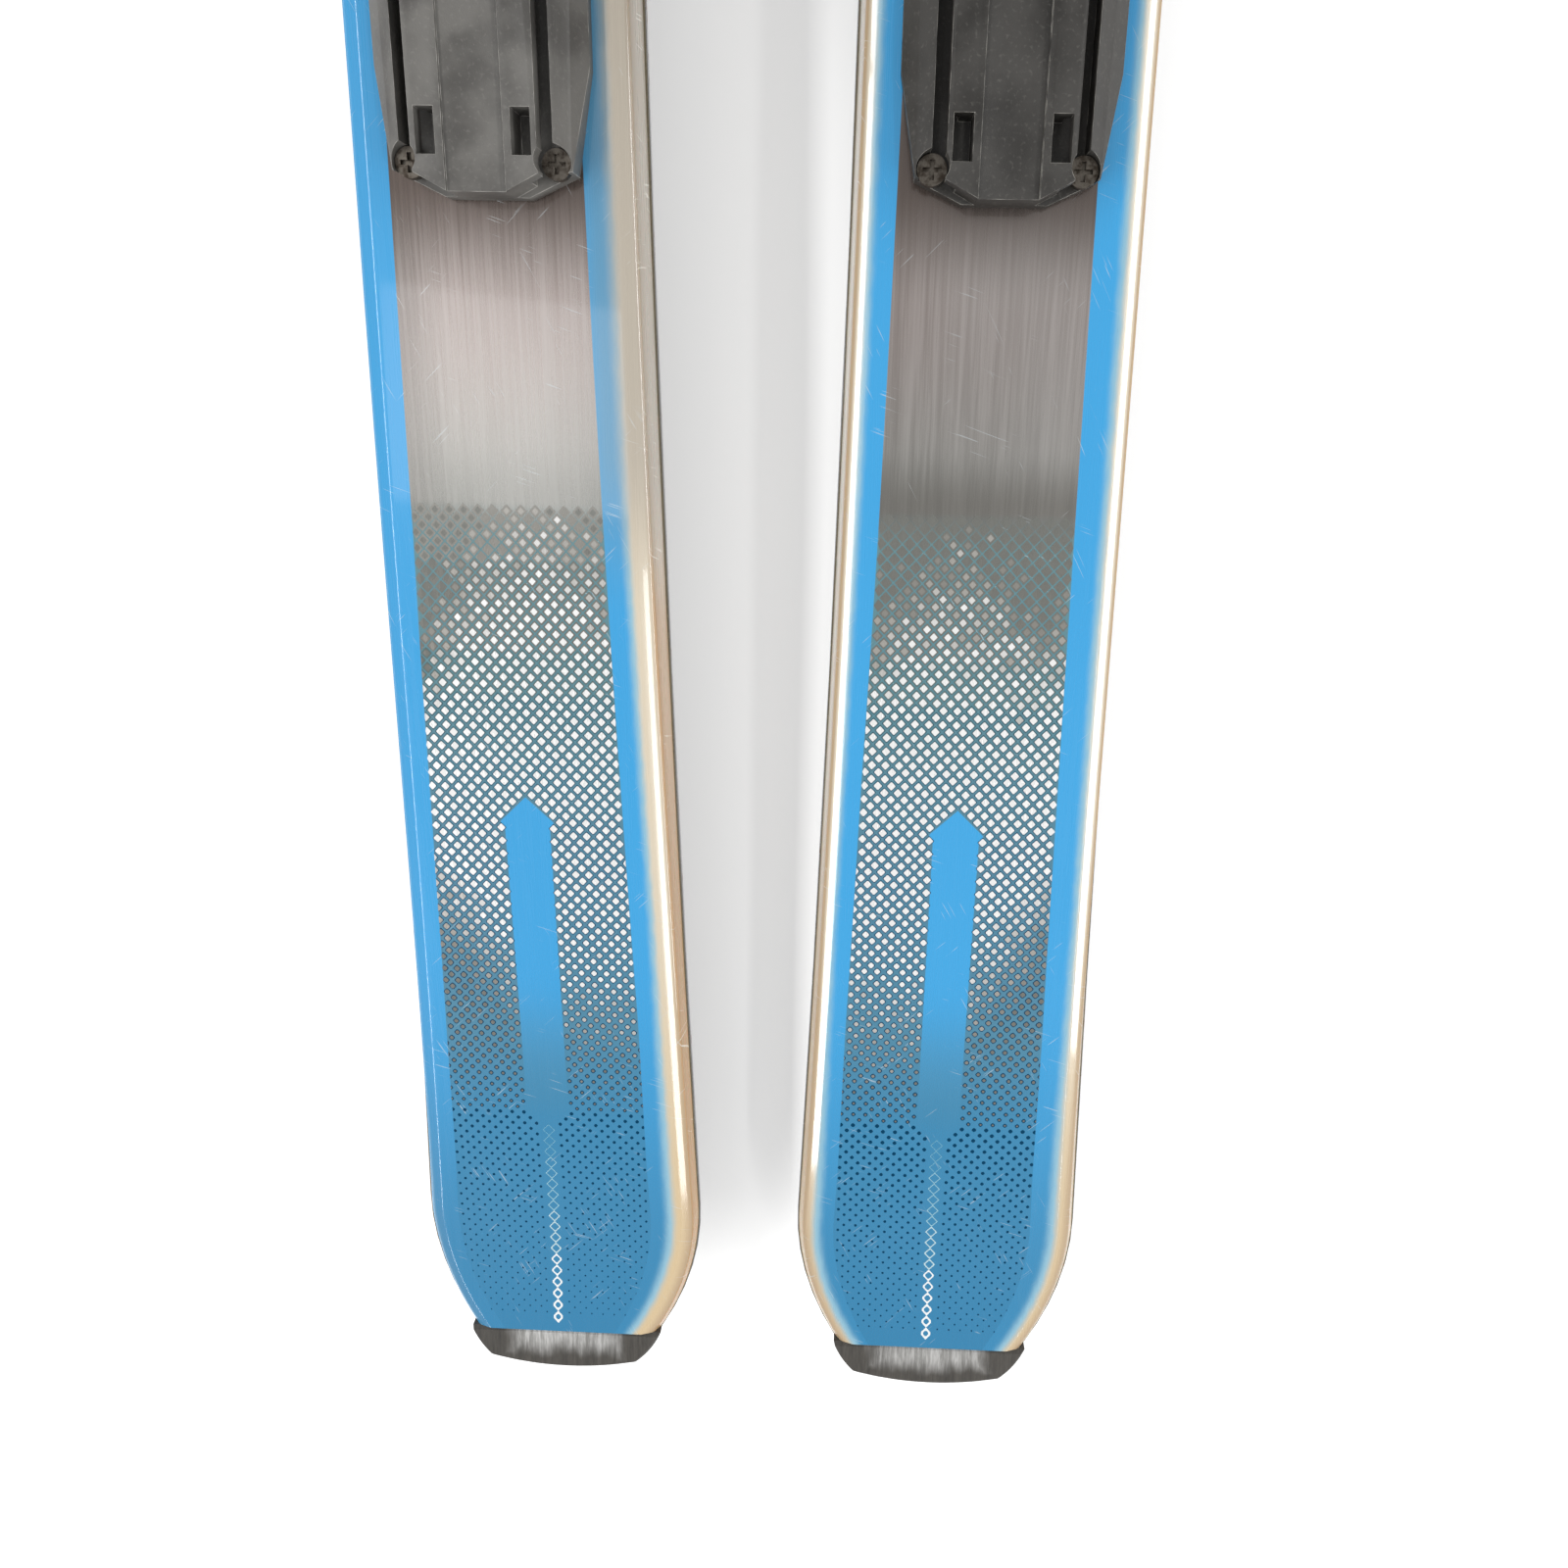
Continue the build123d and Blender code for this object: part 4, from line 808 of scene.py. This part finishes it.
def plastic(name, dark, light, worn_tone, wear, rough=0.5):
    """A moulded plastic and its rubbed edge: two finishes that differ in wear alone."""
    made = []
    for kind, low, high, scale, share in (("", 0.62 - 0.1 * wear, 0.74, 900.0, 0.12),
                                          ("_edge", 0.56 - 0.3 * wear, 0.66, 240.0, 1.0)):
        made.append(material(name + kind))
        cloudy = noise(55.0, detail=4.0)
        body = blend(between(cloudy, 0.35, 0.65), dark, light)
        worn = product(mask(rubbed, Low=low, High=high, Scale=scale), share)
        dress(Base_Color=blend(worn, body, worn_tone),
              Roughness=between(cloudy, 0.3, 0.7, rough - 0.07, rough + 0.10))
        relief(noise(2400.0, detail=2.0), 0.35, 0.12)
    return made


rail_nylon = plastic("rail_nylon", (42, 40, 37), (64, 62, 59), (150, 147, 140), 0.8)
dusty_nylon = plastic("dusty_nylon", (82, 80, 77), (112, 110, 106), (176, 173, 167), 0.8)
for side, track_nylon in zip(SIDES, (dusty_nylon, rail_nylon)):
    moulded(f"{side}_heel_track", f"{side}_ski", "track_plastic", 0.35, *track_nylon)
    moulded(f"{side}_toe_base", f"{side}_ski", "track_plastic", 0.4, *rail_nylon)


# ------------------------ steel small parts
# Cross-recessed mounting screws, hinge pins and the heel and toe pins are zinc-plated
# steel, dulled by road salt and grease. The wire of the brakes is bent from one length
# and chromed, and shines more.
def stained(name, metallic, clean, dirty, reach, gloss, span=(0.3, 0.7), **pattern):
    """A hard bare surface, and the noise that stains it from clean to dirty and dulls it."""
    made, stain_and_shade = material(name), noise(**pattern)
    dress(Base_Color=blend(between(stain_and_shade, *reach), clean, dirty), Metallic=metallic,
          Roughness=between(stain_and_shade, *span, *gloss))
    return made, stain_and_shade


zinc, stain_and_shade = stained("dull_zinc", 0.85, (112, 106, 98), (64, 56, 48), (0.40, 0.66),
                      (0.28, 0.52), scale=420.0, detail=5.0, rough=0.65)
relief(stain_and_shade, 0.2, 0.1)
coat(zinc, "binding_screws", "wing_pins", "heel_pivot_pin", "lever_pin")
chrome, stain_and_shade = stained("brake_chrome", 0.95, (206, 207, 209), (140, 136, 130), (0.55, 0.75),
                        (0.16, 0.4), (0.4, 0.8), scale=300.0, detail=4.0)
coat(chrome, "brake_arms")


# ------------------------ heel pieces
# A stamped steel carriage slides on the rail. The housing, cup and lever are moulded,
# and open on their pin; the lever's back is ribbed for a pole tip or a glove.
stamped = material("carriage_paint")
speck = noise(900.0, detail=3.0)
worn = mask(rubbed, Low=0.62, High=0.7, Scale=200.0)
dress(Base_Color=blend(worn, blend(speck, (66, 67, 69), (92, 93, 95)), (160, 158, 154)),
      Metallic=scaled(worn, 0.5, 0.35),
      Roughness=between(speck, 0.3, 0.7, 0.34, 0.48))
relief(speck, 0.2, 0.1)

lever_angle, lever_thickness = 140.0, 7.0
lever_ribs, lever_rib_size = np.arange(5.0, 24.0, 3.6), (16.0, 1.1, 0.7)
heel_scale_place, heel_scale_size, window_sink = 24.0, (8.0, 3.2), 0.05
housing_black = plastic("housing_black", (34, 35, 37), (50, 51, 53), (120, 120, 120), 0.6,
                        rough=0.38)
lever_grey = plastic("lever_grey", (112, 115, 119), (134, 137, 141), (190, 191, 192), 0.5,
                     rough=0.36)
brake_black = plastic("brake_black", (30, 30, 31), (46, 46, 47), (104, 103, 100), 0.8)


def corners(node):
    """The low and high corners of a node's box, in millimetres."""
    return [np.array(corner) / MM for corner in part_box(node)]


def ribs(name, body, slot, finish, centres, along, up, half_long, half_wide, rise):
    """Rounded ribs lying across the ski, one at each centre.

    An ellipse in the along-up plane is carried across, and both its radii draw in towards
    the ends as the side of a sixth-power superellipse does."""
    across = np.sin(np.linspace(-pi / 2, pi / 2, 15))[:, None, None]
    turn = np.linspace(0, 2 * pi, 11)[None, :, None]
    draw = np.sqrt(np.maximum(1 - across**6, 0))
    line = across * half_long * np.array([1.0, 0, 0]) + draw * (
        half_wide * np.cos(turn) * along + rise * np.sin(turn) * up)
    rows, columns = line.shape[:2]
    points = np.asarray(centres)[:, None, None] + line
    first = np.arange(len(centres))[:, None, None] * rows * columns
    faces = (grid_quads(rows, columns)[None] + first).reshape(-1, 4)
    made = mesh_piece(name, points.reshape(-1, 3), faces.tolist(), merge=0.001, sharp=0.8)
    fit(made, body, slot, finish)


def tilted(degrees):
    """Unit vectors along a piece raised by this angle from the ski's forward line, and out
    of its upper face."""
    turn = np.radians(degrees)
    along = np.array([0, np.cos(turn), np.sin(turn)])
    out = np.array([0, -np.sin(turn), np.cos(turn)])
    return along, out * (1 if degrees < 90 else -1)


def scale_window(name, body, centre, half_x, half_y):
    """A clear window over a release scale, in a raised frame.

    Both follow a fifth-power superellipse: the window as rings from its middle to its
    sunk rim, the frame as an ellipse carried round it."""
    turn = np.linspace(0, 2 * pi, 49)
    x, y = (np.sign(c) * np.abs(c) ** 0.4 for c in (np.cos(turn), np.sin(turn)))
    share = np.array([0, 0.5, 0.85, 0.97, 1, 1, 0])[:, None]
    lift = np.array([0.5, 0.48, 0.4, 0.25, 0, -0.4, -0.4])[:, None]
    lip = np.linspace(0, 2 * pi, 9)[:, None]
    grow = 0.1 + 0.6 * np.cos(lip)
    for part, finish, axes in (
            ("lens", release_scale, (share * half_x * x, share * half_y * y, lift)),
            ("frame", lever_grey[0],
             ((half_x + grow) * x, (half_y + grow) * y, 0.75 * np.sin(lip)))):
        points = np.stack(np.broadcast_arrays(*axes), -1) + centre
        made = mesh_piece(f"{name}_{part}", points.reshape(-1, 3),
                          grid_quads(*points.shape[:2]).tolist(), merge=0.001, sharp=0.8)
        fit(made, body, "housing_plastic", finish)


# Evenly spaced strokes under the clear window
stroke_pitch, stroke_share = 1.1, 0.14
release_scale = material("release_scale")
step = sums("SUBTRACT", own_axes()["X"], centre_x["left"] * MM)
step = sums("PINGPONG", sums("DIVIDE", step, stroke_pitch * MM), 0.5)
speckle = noise(1400.0, detail=2.0)
dress(Base_Color=blend(sums("LESS_THAN", step, stroke_share),
                       blend(speckle, (206, 206, 202), (228, 228, 225)), (46, 46, 48)),
      Roughness=between(speckle, 0.3, 0.7, 0.3, 0.42), Coat_Weight=1.0, Coat_Roughness=0.03)

for side in SIDES:
    carriage, housing, lever = (
        f"{side}_heel_{part}" for part in ("carriage", "housing", "lever"))
    moulded(carriage, carriage, "carriage_steel", 0.4, stamped)
    moulded(housing, housing, "housing_plastic", 1.0, *housing_black, segments=3)
    moulded(f"{side}_heel_cup", housing, "housing_plastic", 0.6, *housing_black)
    moulded(lever, lever, "lever_plastic", 0.9, *lever_grey, segments=3)
    low, high = corners(lever)
    along, out = tilted(lever_angle)
    end = np.array([centre_x[side], low[1] + lever_thickness * out[1], high[2]])
    ribs(f"{side}_lever_ribs", lever, "lever_plastic", lever_grey[0],
         end - lever_ribs[:, None] * along, along, out, *lever_rib_size)
    low, high = corners(housing)
    place = (centre_x[side], low[1] + heel_scale_place, high[2] - window_sink)
    scale_window(f"{side}_heel_scale", housing, place, *heel_scale_size)


# ------------------------ brakes
# The brake plate, the pedal and the feet are moulded black nylon. The pedal is pressed
# down by the boot sole and folds the wire arms up beside the ski.
brake_angle, pedal_thickness = 63.0, 4.0
pedal_ribs, pedal_rib_size = np.arange(4.5, 26.0, 4.2), (19.0, 1.0, 0.8)
for side in SIDES:
    high = corners(f"{side}_brake_pedal")[1]
    along, out = tilted(brake_angle)
    top = np.array([centre_x[side], high[1] + pedal_thickness * out[1], high[2]])
    ribs(f"{side}_pedal_ribs", f"{side}_brake", "brake_plastic", brake_black[0],
         top - pedal_ribs[:, None] * along, along, out, *pedal_rib_size)
    moulded(f"{side}_brake_plate", f"{side}_heel_carriage", "brake_plastic", 0.5, *brake_black)
    moulded(f"{side}_brake_pedal", f"{side}_brake", "brake_plastic", 0.6, *brake_black)
    moulded(f"{side}_brake_feet", f"{side}_brake", "brake_plastic", 0.5, *brake_black)


# ------------------------ toe pieces
# The toe housing stands over the base, with a wing on a pin at each side to hold the
# boot's toe, and a low-friction slider under the sole that shifts with it.
slick, stain_and_shade = stained("slider_white", 0.0, (216, 217, 217), (178, 178, 176), (0.4, 0.75),
                       (0.2, 0.36), scale=500.0, stretch=(0.1, 1, 1), detail=3.0)
first_rib, last_rib, rib_pitch, slider_rib_size = 4.5, 3.0, 3.3, (20.5, 0.9, 0.3)
toe_scale_place, toe_scale_size = 17.0, (9.0, 3.6)
for side in SIDES:
    housing, slider = f"{side}_toe_housing", f"{side}_toe_slider"
    moulded(housing, f"{side}_ski", "housing_plastic", 1.0, *housing_black, segments=3)
    for wing in (f"{side}_toe_wing_{hand}" for hand in SIDES):
        moulded(wing, wing, "lever_plastic", 0.8, *lever_grey, segments=3)
    moulded(slider, slider, "slider_plastic", 0.6, slick)
    low, high = corners(slider)
    lines = np.arange(low[1] + first_rib, high[1] - last_rib, rib_pitch)
    ribs(f"{side}_slider_ribs", slider, "slider_plastic", slick,
         [(centre_x[side], y, high[2]) for y in lines], *tilted(0.0), *slider_rib_size)
    low, high = corners(housing)
    place = (centre_x[side], low[1] + toe_scale_place, high[2] - window_sink)
    scale_window(f"{side}_toe_scale", f"{side}_ski", place, *toe_scale_size)


# ------------------------ springs and screws
# A compression spring sits inside each housing behind its slotted adjusting screw,
# which a screwdriver turns from outside to set the release force.
spring_wire, stain_and_shade = material("spring_wire"), noise(900.0, detail=3.0)
dress(Base_Color=blend(stain_and_shade, (92, 92, 94), (138, 138, 140)), Metallic=0.9,
      Roughness=between(stain_and_shade, 0.3, 0.7, 0.26, 0.4))
adjuster_plate, stain_and_shade = stained("adjuster_steel", 0.9, (198, 196, 190), (140, 136, 126),
                                (0.4, 0.7), (0.24, 0.42), scale=350.0, detail=4.0)
wire_radius, spring_turns, dead_turns, spring_play = 1.1, 7.0, 1.5, 0.1
coil_gap, dead_ease = 0.05, 0.04


def coil(name, node, body):
    """A compression spring filling the node's box, its axis along the ski.

    A circle is carried round a helix whose pitch closes up over its end turns, so that
    they lie wire on wire; both ends are capped flat."""
    low, high = corners(node)
    inset = wire_radius + spring_play
    centre, reach = (low + high) / 2, (high[0] - low[0]) / 2 - inset
    length = high[1] - low[1] - 2 * inset
    turns = spring_turns + 2 * dead_turns
    u = np.linspace(0, 1, 480)
    dead = dead_turns / turns
    pitch = np.interp(u, [0, dead, dead + dead_ease, 1 - dead - dead_ease, 1 - dead, 1],
                      [0, 0, 1, 1, 0, 0])
    closed = (2 * wire_radius + coil_gap) * turns / len(u) * np.ones_like(u)
    stretch = np.cumsum(closed + pitch * (length - closed.sum()) / pitch.sum())
    run = np.minimum(low[1] + inset + stretch - stretch[0], high[1] - inset)
    angle = 2 * pi * turns * u
    ring = np.linspace(0, 2 * pi, 11)[:-1]
    out = np.stack([np.cos(angle), 0 * angle, np.sin(angle)], -1)
    path = out * reach + np.stack([0 * u + centre[0], run, 0 * u + centre[2]], -1)
    points = (path[:, None] + wire_radius * (
        np.cos(ring)[None, :, None] * out[:, None]
        + np.sin(ring)[None, :, None] * np.array([0, 1, 0])))
    shut = np.concatenate([points, points[:, :1]], 1)
    count = len(ring) + 1
    first_cap = list(range(count - 1))
    caps = [first_cap, [(len(u) - 1) * count + k for k in first_cap][::-1]]
    made = mesh_piece(name, shut.reshape(-1, 3), grid_quads(len(u), count).tolist() + caps,
                      merge=0.001, sharp=0.8)
    fit(made, body, "spring_steel", spring_wire, node)


for side in SIDES:
    coil(f"{side}_heel_coil", f"{side}_heel_spring", f"{side}_heel_housing")
    coil(f"{side}_toe_coil", f"{side}_toe_spring", f"{side}_ski")
coat(adjuster_plate, "heel_release_screw", "toe_release_screw")


# ------------------------ stage
# A pale floor under the pair, lit softly from both sides as by two windows and lamps on
# the ceiling, and the camera over the tails.
reach = 6000.0
floor = mesh_piece("floor", [(-reach, -reach, 0), (reach, -reach, 0), (reach, reach, 0),
                             (-reach, reach, 0)], [(0, 1, 2, 3)], smooth=False)
floor_paint = material("pale_floor")
seen = shade("LightPath").outputs
lift_light = seen["Is Camera Ray"]
for ray in ("Is Glossy Ray", "Is Transmission Ray"):
    lift_light = sums("MAXIMUM", lift_light, seen[ray])
dress(Base_Color=(0.92, 0.92, 0.915, 1), Roughness=0.75, Emission_Color=(1, 1, 1, 1),
      Emission_Strength=product(lift_light, 0.36))
floor.data.materials.append(floor_paint)


def lamp(name, place, aim, wide, high, watts):
    """A soft rectangular lamp at a place, turned towards its aim."""
    data = bpy.data.lights.new(name, "AREA")
    data.shape, data.size, data.size_y, data.energy = "RECTANGLE", wide, high, watts
    made = bpy.data.objects.new(name, data)
    made.location = place
    made.rotation_euler = (Vector(aim) - Vector(place)).to_track_quat("-Z", "Y").to_euler()
    scene.collection.objects.link(made)


lamp("left_window", (-1.2, -0.85, 1.36), (0.024, -0.85, 0.05), 2.8, 0.15, 18)
lamp("right_window", (1.25, -0.53, 0.83), (0.116, -0.53, 0.05), 2.16, 0.13, 9.6)
lamp("right_ceiling", (1.25, -1.9, 2.08), (-0.024, -1.9, 0.05), 1.9, 0.14, 9)
lamp("ceiling_panel", (-0.51, -0.50, 1.5), (-0.07, -0.55, 0.05), 0.38, 0.40, 0.7)
world = bpy.data.worlds.new("studio")
scene.world = world
world.use_nodes = True
tree = world.node_tree
room_light, backdrop_light = 0.56, 0.44
seen = shade("LightPath").outputs["Is Camera Ray"]
plug(tree.nodes["Background"], Color=(1, 1, 1, 1),
     Strength=scaled(seen, backdrop_light, room_light))

lens_data = bpy.data.cameras.new("camera")
camera = bpy.data.objects.new("camera", lens_data)
scene.collection.objects.link(camera)
camera.location = (0.0325, -0.4302, 0.3861)
camera.rotation_euler = (-0.28215, 0.03654, 0.01975)
lens_data.sensor_width = 36
lens_data.lens = 25.277
lens_data.shift_x, lens_data.shift_y = -0.0207, -0.0424
lens_data.clip_start = 0.01
scene.camera = camera
scene.view_settings.view_transform = "Standard"
